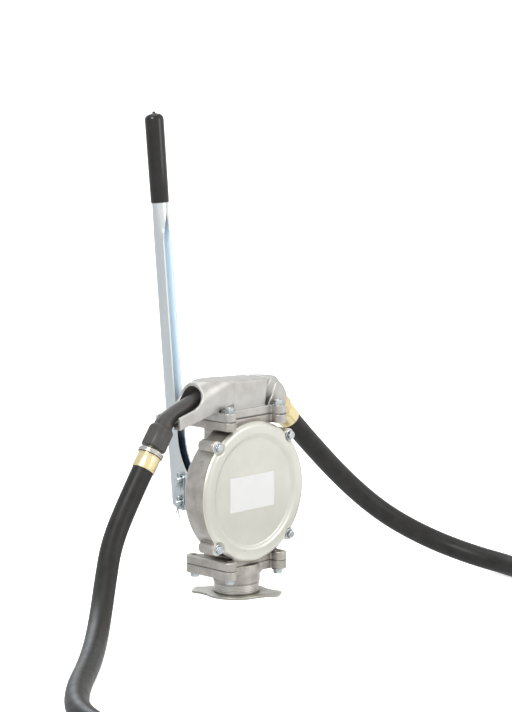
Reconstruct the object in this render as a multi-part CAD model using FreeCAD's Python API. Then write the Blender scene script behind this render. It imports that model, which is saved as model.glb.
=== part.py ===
import FreeCAD, Part
import math
import os

# Double-acting lever hand pump for a drum, with its hose and its nozzle in the holster.
# Millimetres. The origin is the middle of the neck's lower face, +Z is up, the front cover
# faces -Y, the lever stands at +Y, the holster points to -X and the outlet to +X.

Vector = FreeCAD.Vector
X_AXIS = Vector(1, 0, 0)
Y_AXIS = Vector(0, 1, 0)
Z_AXIS = Vector(0, 0, 1)

# ---------------------------------------------------------------- driving dimensions
# fits and clearances
TURN_FIT = 0.05          # radial, pin in the part that holds it
LOOSE_FIT = 0.10         # radial, pin in the part that swings on it
SLIDE_FIT = 0.06         # radial, rod in its bushing
SIDE_GAP = 0.35          # each side, between faces of parts that move past each other
SEAT_GAP = 0.10          # valve disc above its seat
THREAD_GAP = 0.35        # radial, wing collar on the neck
HOLE_GAP = 0.25          # radial, screw in its clearance hole

# neck and wing collar
NECK_R = 30.15           # 2 inch pipe thread, outside
NECK_CAST_R = 31.6
NECK_THREAD_TOP = 17.0
INLET_WEB_H = 5.0
INLET_WEB_REACH = 8.0
INLET_WEB_HALF_Y = 16.0
SUCTION_R = 15.2         # tapped for the 1 inch suction pipe
SUCTION_DEPTH = 24.0
CHAMBER_R = 22.0         # room under the inlet valves
COLLAR_T = 3.2
COLLAR_R = 43.0
COLLAR_EAR_REACH = 60.5
COLLAR_EAR_W = 32.0      # at the root
COLLAR_TIP_W = 24.0
COLLAR_TIP_ROUND = 5.0
COLLAR_TURN = -58.0      # degrees, where the ears stand at rest

# flanges above and below the pump body
FLANGE_HALF_X = 57.0
FLANGE_HALF_Y = 43.0
FLANGE_BAR_W = 18.0
FLANGE_WAIST_Y = 27.0
FLANGE_ROUND = 8.0       # corners of the end bars
BOLT_X = 45.9
BOLT_Y = 33.2
BOLT_R = 4.0
INLET_FLANGE_BOTTOM = 32.0
JOINT_BOTTOM = 44.0      # face between the inlet casting and the body
FLANGE_T = 12.0
GASKET_T = 0.8
HEAD_AF = 11.0           # across flats
HEAD_H = 5.4
WASHER_R = 8.0
WASHER_T = 1.4

# body
BODY_R = 93.0
BODY_Z = JOINT_BOTTOM + BODY_R + 7.0             # axis of the round body
JOINT_TOP = 2 * BODY_Z - JOINT_BOTTOM            # face between the body and the manifold
BORE_R = BODY_R - 15.0
BORE_TAPER_Y = 12.5      # behind this the bore narrows towards the back wall
BORE_END_R = BORE_R - 10.0
RIM_FRONT = -30.2
RIM_BACK = 4.0
BACK_WALL_IN = 22.5
BACK_WALL_OUT = 32.0
BACK_R = BODY_R - 27.0
BLOCK_HALF_X = 38.0
BLOCK_HALF_Y = 24.0
GUSSET_H = 9.0
GUSSET_FRONT = -24.0
GUSSET_BACK = 24.0
ROD_BOSS_R = 20.0
ROD_BOSS_END = 47.0
BOSS_BACK = -4.0         # cover screw bosses end here
COVER_TAP_END = -8.0
PASSAGE_HALF_X = 9.0     # slots from the valves into the bore
PASSAGE_DEPTH = 11.0     # valve pockets in the body
POCKET_HALF_W = 5.0      # triangular casting pockets in the rim
POCKET_H = 13.0
POCKET_DEPTH = 2.2

# cover
COVER_T = 2.0
COVER_R = BODY_R + 1.6
COVER_BEAD_IN = BODY_R - 17.5
COVER_PANEL_R = BODY_R - 21.0     # flat panel inside the bead
COVER_BEAD_H = 3.6
SCREW_CIRCLE = BODY_R + 3.6
SCREW_R = 3.0
TAB_R = 8.6
SCREW_HEAD_AF = 9.6
SCREW_HEAD_H = 4.6
SCREW_WASHER_R = 7.0
SCREW_WASHER_T = 1.2
LABEL_W = 84.0
LABEL_H = 46.6
LABEL_X = -3.5           # middle of the label
LABEL_T = 0.3

# piston and rod
PISTON_Y = -3.0
PLATE_T = 3.0
PLATE_R = BORE_R - 8.0
CUP_T = 7.0
ROD_R = 6.5
ROD_STEP_R = 5.0         # where the piston sits on the rod
BUSHING_WALL = 4.0
SEAL_L = 6.0
RETAINER_T = 3.0
NUT_AF = 19.0
NUT_H = 8.0
ROD_EYE_R = 10.5

# lever
PIVOT_Y = 98.0
PIVOT_Z = BODY_Z - 32.0
ROD_PIN_Y = 97.0
PIN_R = 4.0
LEVER_HALF_W = 8.6
LEVER_DEPTH = 19.6
LEVER_WALL = 2.4
LEVER_OFFSET = 9.3       # middle of the channel behind the pivot, at the pivot's height
LEVER_LEAN = 0.0925      # rise in Y for each mm of Z
LEVER_TOP_Z = 520.0
LEVER_CLOSE_L = 58.0     # stretch where the flanges close into a tube
GRIP_TOP_Z = 640.0
GRIP_R = 13.1
GRIP_CORE_R = 9.6
LEVER_SWING = 20.0       # degrees each way
CLEVIS_REACH = 12.5      # from the pivot to the clevis's front edge
FLARE_LOW_Z = PIVOT_Z + 39.0
FLARE_TOP_Z = PIVOT_Z + 88.0
STRAP_T = 1.6
STRAP_R = 7.0
STRAP_PIN_Y = 107.2      # lower rivet of the straps
RIVET_R = 2.0
BRACKET_FOOT_T = 7.0
BRACKET_HALF_X = 31.0
BRACKET_EYE_R = 9.0
BRACKET_SCREW_X = 24.0
BRACKET_SCREW_R = 3.0

# manifold, holster and outlet
ROOF_Z = JOINT_TOP + 53.5   # roof above ROOF_X, from where it falls towards the outlet
ROOF_X = -58.0
ROOF_FALL = 0.055
MANIFOLD_HALF_Y = 24.0
MANIFOLD_LEFT = -28.2
MANIFOLD_RIGHT = 29.0    # at the foot; the end wall leans out above it
MANIFOLD_LEAN = 7.0
MANIFOLD_ROUND = 3.5
CAVITY_LEFT = -18.0
CAVITY_RIGHT = 24.0
CAVITY_HALF_Y = 17.0
CAVITY_TOP = JOINT_TOP + 32.0
OUTLET_WAY_LOW = JOINT_TOP + 20.0   # passage from the cavity to the outlet bore
OUTLET_WAY_END = 52.0
OUTLET_WAY_HALF_Y = 9.0
HOLSTER_R = 23.0
HOLSTER_BORE_R = 18.8
HOLSTER_MOUTH = Vector(-80.0, 0.0, JOINT_TOP + 28.8)
HOLSTER_SLOPE = 19.4     # degrees below the horizontal, towards -X
HOLSTER_END_X = -127.1   # the lip
HOLSTER_FLOOR_T = 2.8
HOLSTER_DEPTH_X = -50.0  # inner end of the holster
FOOT_LEFT = -49.9         # foot that carries the holster on the flange
FOOT_HALF_Y = 21.5
FOOT_H = 14.0
OUTLET_FACE = Vector(76.99, 0.0, JOINT_TOP + 7.86)
OUTLET_DOWN = 43.8       # degrees below the horizontal, towards +X
OUTLET_R = 22.0
OUTLET_FACE_R = 16.5
OUTLET_BORE_R = 13.0
OUTLET_BORE_L = 34.0
OUTLET_BOSS_L = 50.0
RIB_Y = -5.0              # back face of the rib that leans beside the outlet
RIB_W = 3.6
RIB_TOP_X = 57.5
RIB_FOOT_X = 39.5

# valves
VALVE_Y = 13.0
VALVE_R = 10.0
VALVE_T = 2.0
VALVE_POCKET_R = 11.5
SEAT_HOLE_R = 7.0
SEAT_T = 3.0
SEAT_HALF = 27.0
SEAT_HALF_Y = 24.3
SEAT_POCKET_GAP = 0.2

# hose and its ends
HOSE_R = 14.3
FERRULE_R = 15.6
FERRULE_L = 22.0
HOSE_FITTING_L = 15.0
HOSE_BORE_R = 9.0
NOZZLE_TOP = Vector(-136.18, 0.0, JOINT_TOP + 0.54)
NOZZLE_DOWN = 55.3       # degrees below the horizontal, towards -X
NOZZLE_COLLAR_L = 32.3
NOZZLE_COLLAR_W = 30.0
NOZZLE_RING_L = 9.3
NOZZLE_RING_R = 17.2
NOZZLE_HEX_AF = 31.0
NOZZLE_HEX_L = 5.0
NOZZLE_BORE_R = 8.0
SPOUT_R = 9.0
SPOUT_BORE_R = 6.5
SPOUT_TIP_X = -60.0
ELBOW_R = 12.0
ELBOW_GAP = 2.5           # between the elbow and the holster's lip
ELBOW_ROOM_L = 13.0

# The middle line of the hose between its two ferrules, laid by hand: down from the outlet,
# along the floor round the front of the pump, and up to the nozzle.
HOSE_ROUTE = [
    (207.0, -12.0, 125.0),
    (256.0, -38.0, 77.0),
    (298.0, -80.0, 43.0),
    (327.0, -137.0, 22.0),
    (335.0, -211.0, 14.3),
    (310.0, -286.0, 14.3),
    (248.0, -357.0, 14.3),
    (150.0, -435.0, 14.3),
    (40.0, -522.0, 14.3),
    (-70.0, -606.0, 14.3),
    (-165.0, -677.0, 14.3),
    (-252.0, -714.0, 14.3),
    (-340.0, -712.0, 14.3),
    (-418.0, -673.0, 14.3),
    (-485.0, -605.0, 14.3),
    (-543.0, -530.0, 14.3),
    (-580.0, -455.0, 14.3),
    (-588.0, -375.0, 14.3),
    (-560.0, -300.0, 14.3),
    (-500.0, -235.0, 14.3),
    (-430.0, -176.0, 14.3),
    (-360.0, -112.0, 16.0),
    (-304.0, -61.0, 34.0),
    (-264.0, -27.0, 68.0),
    (-236.0, -8.0, 106.0),
]
HOSE_EXIT_RUN = 52.0     # straight out of each ferrule before the first bend


# ---------------------------------------------------------------- helpers
def box(x0, x1, y0, y1, z0, z1):
    return Part.makeBox(x1 - x0, y1 - y0, z1 - z0, Vector(x0, y0, z0))


def rod(radius, start, end):
    return Part.makeCylinder(radius, (end - start).Length, start, end - start)


def tube(radius, bore, start, end):
    along = (end - start).normalize()
    return rod(radius, start, end).cut(rod(bore, start - along, end + along))


def turned(points, origin, axis, side):
    """Solid of revolution. Points are (along the axis, radius)."""
    corners = [origin + axis * a + side * r for a, r in points]
    face = Part.Face(Part.makePolygon(corners + corners[:1]))
    return face.revolve(origin, axis, 360)


def turned_y(points, x=0.0, z=BODY_Z):
    return turned(points, Vector(x, 0, z), Y_AXIS, X_AXIS)


def turned_z(points, x=0.0, y=0.0):
    return turned(points, Vector(x, y, 0), Z_AXIS, X_AXIS)


def plate_x(outline, x0, x1):
    """Plate between two X planes, from an outline of (Y, Z) points."""
    corners = [Vector(x0, y, z) for y, z in outline]
    return Part.Face(Part.makePolygon(corners + corners[:1])).extrude(Vector(x1 - x0, 0, 0))


def plate_y(outline, y0, y1):
    """Plate between two Y planes, from an outline of (X, Z) points."""
    corners = [Vector(x, y0, z) for x, z in outline]
    return Part.Face(Part.makePolygon(corners + corners[:1])).extrude(Vector(0, y1 - y0, 0))


def plate_z(outline, z0, z1):
    """Plate between two Z planes, from an outline of (X, Y) points."""
    corners = [Vector(x, y, z0) for x, y in outline]
    return Part.Face(Part.makePolygon(corners + corners[:1])).extrude(Vector(0, 0, z1 - z0))


def hexagon(across_flats, start, end):
    """Hexagonal bar from start to end."""
    along = (end - start).normalize()
    side = along.cross(X_AXIS)
    if side.Length < 0.1:
        side = along.cross(Y_AXIS)
    side.normalize()
    other = along.cross(side)
    reach = across_flats / 2 / math.cos(math.pi / 6)
    corners = []
    for k in range(6):
        angle = math.radians(60 * k)
        corners.append(start + side * (reach * math.cos(angle)) + other * (reach * math.sin(angle)))
    return Part.Face(Part.makePolygon(corners + corners[:1])).extrude(end - start)


def joined(pieces):
    shape = pieces[0]
    for piece in pieces[1:]:
        shape = shape.fuse(piece)
    return shape.removeSplitter()


def without(shape, tools):
    for tool in tools:
        shape = shape.cut(tool)
    return shape


def largest(shape):
    """The biggest solid of a cut, which drops loose crumbs."""
    return max(shape.Solids, key=lambda solid: solid.Volume)


def save(shape, node):
    solids = shape.Solids
    kept = solids[0] if len(solids) == 1 else Part.makeCompound(solids)
    kept.exportStep("parts/" + node + ".step")


def bolt_places():
    return [(x, y) for x in (-BOLT_X, BOLT_X) for y in (-BOLT_Y, BOLT_Y)]


def cover_screw_places():
    reach = SCREW_CIRCLE * math.cos(math.pi / 4)
    return [(x, BODY_Z + z) for x in (-reach, reach) for z in (-reach, reach)]


# ---------------------------------------------------------------- shared levels
TOP_FLANGE_TOP = JOINT_TOP + FLANGE_T
GASKET_BOTTOM = JOINT_BOTTOM - GASKET_T
COVER_BACK = RIM_FRONT - GASKET_T
COVER_FRONT = COVER_BACK - COVER_T
BUSHING_R = ROD_R + BUSHING_WALL
BRACKET_HALF = LEVER_HALF_W - LEVER_WALL - SIDE_GAP


def flange(z0, z1):
    """Two end bars with a bolt at each corner, joined by a narrower middle."""
    inner = FLANGE_HALF_X - FLANGE_BAR_W
    left = box(-FLANGE_HALF_X, -inner, -FLANGE_HALF_Y, FLANGE_HALF_Y, z0, z1)
    right = box(inner, FLANGE_HALF_X, -FLANGE_HALF_Y, FLANGE_HALF_Y, z0, z1)
    middle = box(-inner - 1, inner + 1, -FLANGE_WAIST_Y, FLANGE_WAIST_Y, z0, z1)
    shape = joined([left, right, middle])
    corners = []
    for edge in shape.Edges:
        a, b = edge.Vertexes[0].Point, edge.Vertexes[-1].Point
        if abs(a.z - b.z) > (z1 - z0) / 2 and abs(abs(a.y) - FLANGE_HALF_Y) < 0.01:
            corners.append(edge)
    return shape.makeFillet(min(FLANGE_ROUND, 0.46 * FLANGE_BAR_W), corners)


def bolt_holes(z0, z1):
    return [Part.makeCylinder(BOLT_R + HOLE_GAP, z1 - z0, Vector(x, y, z0)) for x, y in bolt_places()]


def valve_pockets(z0, z1):
    return [Part.makeCylinder(VALVE_POCKET_R, z1 - z0, Vector(0, y, z0)) for y in (-VALVE_Y, VALVE_Y)]


# ---------------------------------------------------------------- inlet side
def inlet_casting():
    neck = turned_z([
        (0.0, 0.0), (0.0, NECK_R - 1.2), (1.2, NECK_R), (NECK_THREAD_TOP, NECK_R),
        (NECK_THREAD_TOP + 1.5, NECK_CAST_R), (GASKET_BOTTOM, NECK_CAST_R), (GASKET_BOTTOM, 0.0),
    ])
    webs = [inlet_web(side) for side in (-1, 1)]
    casting = joined([neck, flange(INLET_FLANGE_BOTTOM, GASKET_BOTTOM)] + webs)
    chamber = Part.makeCylinder(CHAMBER_R, GASKET_BOTTOM - SUCTION_DEPTH - SEAT_T, Vector(0, 0, SUCTION_DEPTH))
    suction = Part.makeCylinder(SUCTION_R, SUCTION_DEPTH + 2, Vector(0, 0, -1))
    casting = without(casting, [chamber, suction, seat_pocket(GASKET_BOTTOM)])
    return largest(without(casting, bolt_holes(INLET_FLANGE_BOTTOM - 1, GASKET_BOTTOM + 1)))


def inlet_web(side):
    """Sloping web from the neck out to the underside of the flange."""
    root = NECK_CAST_R - 6
    return plate_y([
        (side * root, INLET_FLANGE_BOTTOM - INLET_WEB_H - 4),
        (side * (NECK_CAST_R + 1), INLET_FLANGE_BOTTOM - INLET_WEB_H),
        (side * (NECK_CAST_R + INLET_WEB_REACH), INLET_FLANGE_BOTTOM + 1),
        (side * root, INLET_FLANGE_BOTTOM + 1),
    ], -INLET_WEB_HALF_Y, INLET_WEB_HALF_Y)


def seat_pocket(z_top):
    half_y = SEAT_HALF_Y + SEAT_POCKET_GAP
    return box(-SEAT_HALF, SEAT_HALF, -half_y, half_y, z_top - SEAT_T, z_top + 1)


def seat_plate(z_top):
    half_x = SEAT_HALF - SEAT_POCKET_GAP
    plate = box(-half_x, half_x, -SEAT_HALF_Y, SEAT_HALF_Y, z_top - SEAT_T, z_top)
    holes = [Part.makeCylinder(SEAT_HOLE_R, SEAT_T + 2, Vector(0, y, z_top - SEAT_T - 1))
             for y in (-VALVE_Y, VALVE_Y)]
    return without(plate, holes)


def valve_disc(y, z_seat):
    disc = turned_z([
        (z_seat + SEAT_GAP, 0.0), (z_seat + SEAT_GAP, VALVE_R), (z_seat + SEAT_GAP + VALVE_T, VALVE_R),
        (z_seat + SEAT_GAP + VALVE_T, 4.0), (z_seat + SEAT_GAP + VALVE_T + 1.5, 3.0),
        (z_seat + SEAT_GAP + VALVE_T + 1.5, 0.0),
    ], 0.0, y)
    return disc


def gasket(z0, z1):
    sheet = flange(z0, z1)
    return without(sheet, bolt_holes(z0 - 1, z1 + 1) + valve_pockets(z0 - 1, z1 + 1))


def hex_screws(z_face, down):
    """Four flange screws. The head stands off z_face, and the shank runs the other way."""
    sign = -1 if down else 1
    shapes = []
    for x, y in bolt_places():
        face = Vector(x, y, z_face)
        washer = rod(WASHER_R, face, face + Z_AXIS * (sign * WASHER_T))
        top = face + Z_AXIS * (sign * (WASHER_T + HEAD_H))
        head = hexagon(HEAD_AF, face + Z_AXIS * (sign * WASHER_T), top)
        shank = rod(BOLT_R, face, face - Z_AXIS * (sign * (2 * FLANGE_T - 3)))
        shapes.append(joined([washer, head, shank]))
    return Part.makeCompound(shapes)


def wing_collar():
    bore = NECK_R + THREAD_GAP
    disc = Part.makeCylinder(COLLAR_R, COLLAR_T)
    ears = []
    for side in (-1, 1):
        ear = plate_z([
            (side * 20.0, -COLLAR_EAR_W), (side * 34.0, -COLLAR_EAR_W * 0.78),
            (side * (COLLAR_R + 4), -COLLAR_EAR_W / 2), (side * COLLAR_EAR_REACH, -COLLAR_TIP_W / 2),
            (side * COLLAR_EAR_REACH, COLLAR_TIP_W / 2), (side * (COLLAR_R + 4), COLLAR_EAR_W / 2),
            (side * 34.0, COLLAR_EAR_W * 0.78), (side * 20.0, COLLAR_EAR_W),
        ], 0, COLLAR_T)
        tips = []
        for edge in ear.Edges:
            a, b = edge.Vertexes[0].Point, edge.Vertexes[-1].Point
            if abs(a.z - b.z) > 1 and abs(abs(a.x) - COLLAR_EAR_REACH) < 0.01:
                tips.append(edge)
        ears.append(ear.makeFillet(COLLAR_TIP_ROUND, tips))
    shape = joined([disc] + ears)
    shape = shape.cut(Part.makeCylinder(bore, COLLAR_T + 2, Vector(0, 0, -1)))
    shape.rotate(Vector(0, 0, 0), Z_AXIS, COLLAR_TURN)
    return shape


# ---------------------------------------------------------------- body
def body_casting():
    shell = turned_y([
        (RIM_FRONT, 0.0), (RIM_FRONT, BODY_R), (RIM_BACK, BODY_R - 1.5), (RIM_BACK + 6, BODY_R - 6),
        (BACK_WALL_OUT, BACK_R), (BACK_WALL_OUT, ROD_BOSS_R + 3), (BACK_WALL_OUT + 3, ROD_BOSS_R),
        (ROD_BOSS_END, ROD_BOSS_R), (ROD_BOSS_END, 0.0),
    ])
    blocks = [
        box(-BLOCK_HALF_X, BLOCK_HALF_X, -BLOCK_HALF_Y, BLOCK_HALF_Y, JOINT_BOTTOM, BODY_Z - 60),
        box(-BLOCK_HALF_X, BLOCK_HALF_X, -BLOCK_HALF_Y, BLOCK_HALF_Y, BODY_Z + 60, JOINT_TOP),
    ]
    flanges = [
        flange(JOINT_BOTTOM, JOINT_BOTTOM + FLANGE_T),
        flange(JOINT_TOP - FLANGE_T, JOINT_TOP),
    ]
    bosses = [rod(TAB_R, Vector(x, RIM_FRONT, z), Vector(x, BOSS_BACK, z)) for x, z in cover_screw_places()]
    casting = joined([shell, gusset()] + blocks + flanges + bosses)
    bore = turned_y([
        (RIM_FRONT - 1, 0.0), (RIM_FRONT - 1, BORE_R), (BORE_TAPER_Y, BORE_R),
        (BACK_WALL_IN, BORE_END_R), (BACK_WALL_IN, 0.0),
    ])
    cover_space = turned_y([(RIM_FRONT - 30, 0.0), (RIM_FRONT - 30, COVER_R + 0.6),
                            (RIM_FRONT, COVER_R + 0.6), (RIM_FRONT, 0.0)])
    rod_hole = rod(BUSHING_R, Vector(0, BACK_WALL_IN - 1, BODY_Z), Vector(0, ROD_BOSS_END + 1, BODY_Z))
    passages = []
    for z_pocket, z_slot in ((JOINT_BOTTOM, BODY_Z - BORE_R + 6), (JOINT_TOP, BODY_Z + BORE_R - 6)):
        low, high = min(z_pocket, z_slot), max(z_pocket, z_slot)
        if z_pocket < BODY_Z:
            passages += valve_pockets(z_pocket - 1, z_pocket + PASSAGE_DEPTH)
            span = (z_pocket + PASSAGE_DEPTH - 3, high)
        else:
            passages += valve_pockets(z_pocket - PASSAGE_DEPTH, z_pocket + 1)
            span = (low, z_pocket - PASSAGE_DEPTH + 3)
        passages.append(box(-PASSAGE_HALF_X, PASSAGE_HALF_X, RIM_FRONT + 4, -VALVE_Y, span[0], span[1]))
        passages.append(box(-PASSAGE_HALF_X, PASSAGE_HALF_X, VALVE_Y, BACK_WALL_IN, span[0], span[1]))
    screws = [rod(SCREW_R + TURN_FIT, Vector(x, RIM_FRONT - 1, z), Vector(x, COVER_TAP_END, z))
              for x, z in cover_screw_places()]
    bolts = bolt_holes(JOINT_BOTTOM - 1, JOINT_BOTTOM + FLANGE_T + 1)
    bolts += bolt_holes(JOINT_TOP - FLANGE_T - 1, JOINT_TOP + 1)
    bracket_bolts = [
        rod(BRACKET_SCREW_R + TURN_FIT, Vector(x, BACK_WALL_IN + 3, z), Vector(x, BACK_WALL_OUT + 1, z))
        for x, z in bracket_screw_places()
    ]
    cut = without(casting, [bore, cover_space, rod_hole, seat_pocket(JOINT_TOP)] + passages + screws + bolts)
    cut = without(cut, bracket_bolts + side_pockets())
    return largest(cut)


def gusset():
    """Sloping rib from the lower flange's outlet side up to the neck block, between the screws."""
    face = JOINT_BOTTOM + FLANGE_T
    return plate_y([
        (BLOCK_HALF_X - 4, face - 1), (FLANGE_HALF_X - 3, face - 1), (FLANGE_HALF_X - 3, face + 1.5),
        (FLANGE_HALF_X - 9, face + GUSSET_H), (BLOCK_HALF_X - 4, face + GUSSET_H + 2),
    ], GUSSET_FRONT, GUSSET_BACK)


def side_pockets():
    """Small triangular casting pockets on the left side of the rim."""
    pockets = []
    for angle in (150, 180, 210):
        turn = math.radians(angle)
        centre = Vector(BODY_R * math.cos(turn), -10.0, BODY_Z + BODY_R * math.sin(turn))
        pocket = plate_z([(-POCKET_HALF_W, -POCKET_H / 2), (POCKET_HALF_W, -POCKET_H / 2), (0.0, POCKET_H / 2)],
                         -POCKET_DEPTH, POCKET_DEPTH)
        pocket.rotate(Vector(0, 0, 0), Y_AXIS, 90 - angle)
        pocket.translate(centre)
        pockets.append(pocket)
    return pockets


def cover_gasket():
    inner = BORE_R + 0.5
    outer = BODY_R - 1
    return turned_y([(COVER_BACK, inner), (COVER_BACK, outer), (RIM_FRONT, outer), (RIM_FRONT, inner)])


def front_cover():
    back = COVER_BACK
    front = COVER_FRONT
    bead = front - COVER_BEAD_H
    shell = turned_y([
        (front, 0.0), (front, COVER_PANEL_R), (bead + 0.8, COVER_BEAD_IN), (bead, COVER_BEAD_IN + 2),
        (bead, COVER_R - 5.5), (bead + 1.6, COVER_R - 1.6), (bead + 5.4, COVER_R),
        (back, COVER_R), (back, COVER_R - 4), (front + 1.0, COVER_R - 7.0), (bead + COVER_T, COVER_R - 9.0),
        (bead + COVER_T, COVER_BEAD_IN + 4), (back, COVER_PANEL_R + 3), (back, 0.0),
    ])
    tabs = []
    for x, z in cover_screw_places():
        tab = rod(TAB_R, Vector(x, back, z), Vector(x, front, z))
        tabs.append(tab)
    cover = joined([shell] + tabs)
    holes = [rod(SCREW_R + HOLE_GAP, Vector(x, back + 1, z), Vector(x, bead - 1, z))
             for x, z in cover_screw_places()]
    washer_room = [rod(SCREW_WASHER_R + 0.3, Vector(x, front, z), Vector(x, bead - 3, z))
                   for x, z in cover_screw_places()]
    return largest(without(cover, holes + washer_room))


def cover_label():
    y = COVER_FRONT
    return box(LABEL_X - LABEL_W / 2, LABEL_X + LABEL_W / 2, y - LABEL_T, y,
               BODY_Z - LABEL_H / 2, BODY_Z + LABEL_H / 2)


def cover_screws():
    shapes = []
    for x, z in cover_screw_places():
        face = Vector(x, COVER_FRONT, z)
        head_start = face - Y_AXIS * SCREW_WASHER_T
        washer = rod(SCREW_WASHER_R, face, head_start)
        head = hexagon(SCREW_HEAD_AF, head_start, head_start - Y_AXIS * SCREW_HEAD_H)
        shank = rod(SCREW_R, face, Vector(x, COVER_TAP_END - 1, z))
        shapes.append(joined([washer, head, shank]))
    return Part.makeCompound(shapes)


# ---------------------------------------------------------------- rod, seal and piston
def rod_bushing():
    return tube(BUSHING_R - 0.02, ROD_R + SLIDE_FIT, Vector(0, BACK_WALL_IN, BODY_Z),
                Vector(0, ROD_BOSS_END - SEAL_L - 0.2, BODY_Z))


def rod_seal():
    return tube(BUSHING_R - 0.02, ROD_R + 0.3, Vector(0, ROD_BOSS_END - SEAL_L, BODY_Z),
                Vector(0, ROD_BOSS_END, BODY_Z))


def seal_retainer():
    return tube(ROD_BOSS_R - 1.5, ROD_R + 0.5, Vector(0, ROD_BOSS_END, BODY_Z),
                Vector(0, ROD_BOSS_END + RETAINER_T, BODY_Z))


def piston_plate(y0, y1):
    return turned_y([(y0, ROD_STEP_R), (y0, PLATE_R), (y1, PLATE_R), (y1, ROD_STEP_R)])


def piston_cup():
    half = CUP_T / 2
    reach = BORE_R - 0.3
    return turned_y([
        (PISTON_Y - half, ROD_STEP_R), (PISTON_Y - half, reach), (PISTON_Y - half + 2.0, reach),
        (PISTON_Y - 1.2, reach - 3.0), (PISTON_Y + 1.2, reach - 3.0),
        (PISTON_Y + half - 2.0, reach), (PISTON_Y + half, reach), (PISTON_Y + half, ROD_STEP_R),
    ])


def plunger_rod():
    shoulder = PISTON_Y + CUP_T / 2 + PLATE_T
    front = PISTON_Y - CUP_T / 2 - PLATE_T - NUT_H - 1.0
    eye = Vector(0, ROD_PIN_Y, BODY_Z)
    body = turned_y([
        (front, 0.0), (front, ROD_STEP_R), (shoulder, ROD_STEP_R), (shoulder, ROD_R),
        (ROD_PIN_Y - 4, ROD_R), (ROD_PIN_Y - 4, 0.0),
    ])
    half = BRACKET_HALF
    eye_disc = rod(ROD_EYE_R, eye - X_AXIS * half, eye + X_AXIS * half)
    flat = box(-half, half, ROD_PIN_Y - ROD_EYE_R - 5, ROD_PIN_Y, BODY_Z - 5.6, BODY_Z + 5.6)
    body = body.cut(box(-20, -half, ROD_PIN_Y - ROD_EYE_R - 5, ROD_PIN_Y + 20, BODY_Z - 20, BODY_Z + 20))
    body = body.cut(box(half, 20, ROD_PIN_Y - ROD_EYE_R - 5, ROD_PIN_Y + 20, BODY_Z - 20, BODY_Z + 20))
    shape = joined([body, eye_disc, flat])
    return largest(shape.cut(rod_slot(half + 1)))


def rod_slot(half):
    """Upright slot for the rod pin, as tall as the pin's arc needs."""
    arm = BODY_Z - PIVOT_Z
    drop = arm * (1 - math.cos(math.radians(LEVER_SWING))) + 0.6
    radius = PIN_R + 0.45
    top = Vector(0, ROD_PIN_Y, BODY_Z + 0.6)
    bottom = Vector(0, ROD_PIN_Y, BODY_Z - drop)
    ends = [rod(radius, p - X_AXIS * half, p + X_AXIS * half) for p in (top, bottom)]
    middle = box(-half, half, ROD_PIN_Y - radius, ROD_PIN_Y + radius, bottom.z, top.z)
    return joined(ends + [middle])


def rod_nut():
    start = Vector(0, PISTON_Y - CUP_T / 2 - PLATE_T, BODY_Z)
    end = start - Y_AXIS * NUT_H
    return hexagon(NUT_AF, start, end).cut(rod(ROD_STEP_R, start + Y_AXIS, end - Y_AXIS))


# ---------------------------------------------------------------- lever and its pivot
def bracket_screw_places():
    return [(x, z) for x in (-BRACKET_SCREW_X, BRACKET_SCREW_X) for z in (PIVOT_Z - 14.0, PIVOT_Z - 2.0)]


def fulcrum_bracket():
    """Foot on the back wall and one arm that reaches into the lever's clevis."""
    foot = box(-BRACKET_HALF_X, BRACKET_HALF_X, BACK_WALL_OUT, BACK_WALL_OUT + BRACKET_FOOT_T,
               PIVOT_Z - 21, PIVOT_Z + 5)
    arm = plate_x([
        (BACK_WALL_OUT, PIVOT_Z - 21), (BACK_WALL_OUT, PIVOT_Z + 5), (PIVOT_Y, PIVOT_Z + BRACKET_EYE_R),
        (PIVOT_Y, PIVOT_Z - BRACKET_EYE_R),
    ], -BRACKET_HALF, BRACKET_HALF)
    eye = rod(BRACKET_EYE_R, Vector(-BRACKET_HALF, PIVOT_Y, PIVOT_Z), Vector(BRACKET_HALF, PIVOT_Y, PIVOT_Z))
    ribs = plate_z([(-BRACKET_SCREW_X, BACK_WALL_OUT), (BRACKET_SCREW_X, BACK_WALL_OUT), (5, BACK_WALL_OUT + 34),
                    (-5, BACK_WALL_OUT + 34)], PIVOT_Z - 10, PIVOT_Z - 5)
    shape = joined([foot, arm, eye, ribs])
    holes = [rod(BRACKET_SCREW_R + HOLE_GAP, Vector(x, BACK_WALL_OUT - 1, z), Vector(x, BACK_WALL_OUT + 60, z))
             for x, z in bracket_screw_places()]
    pin_hole = rod(PIN_R + TURN_FIT, Vector(-20, PIVOT_Y, PIVOT_Z), Vector(20, PIVOT_Y, PIVOT_Z))
    boss_room = rod(ROD_BOSS_R + 0.6, Vector(0, BACK_WALL_OUT - 1, BODY_Z), Vector(0, PIVOT_Y + 30, BODY_Z))
    head_room = [rod(7.0, Vector(x, BACK_WALL_OUT + BRACKET_FOOT_T, z), Vector(x, BACK_WALL_OUT + 60, z))
                 for x, z in bracket_screw_places()]
    return largest(without(shape, holes + [pin_hole, boss_room] + head_room))


def bracket_screws():
    shapes = []
    for x, z in bracket_screw_places():
        face = Vector(x, BACK_WALL_OUT + BRACKET_FOOT_T, z)
        head = hexagon(10.0, face, face + Y_AXIS * 4.5)
        shank = rod(BRACKET_SCREW_R, Vector(x, BACK_WALL_IN + 4, z), face)
        shapes.append(joined([head, shank]))
    return Part.makeCompound(shapes)


def lever_line(z):
    """Y of the middle of the lever's channel at a height."""
    return PIVOT_Y + LEVER_OFFSET + LEVER_LEAN * (z - PIVOT_Z)


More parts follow.
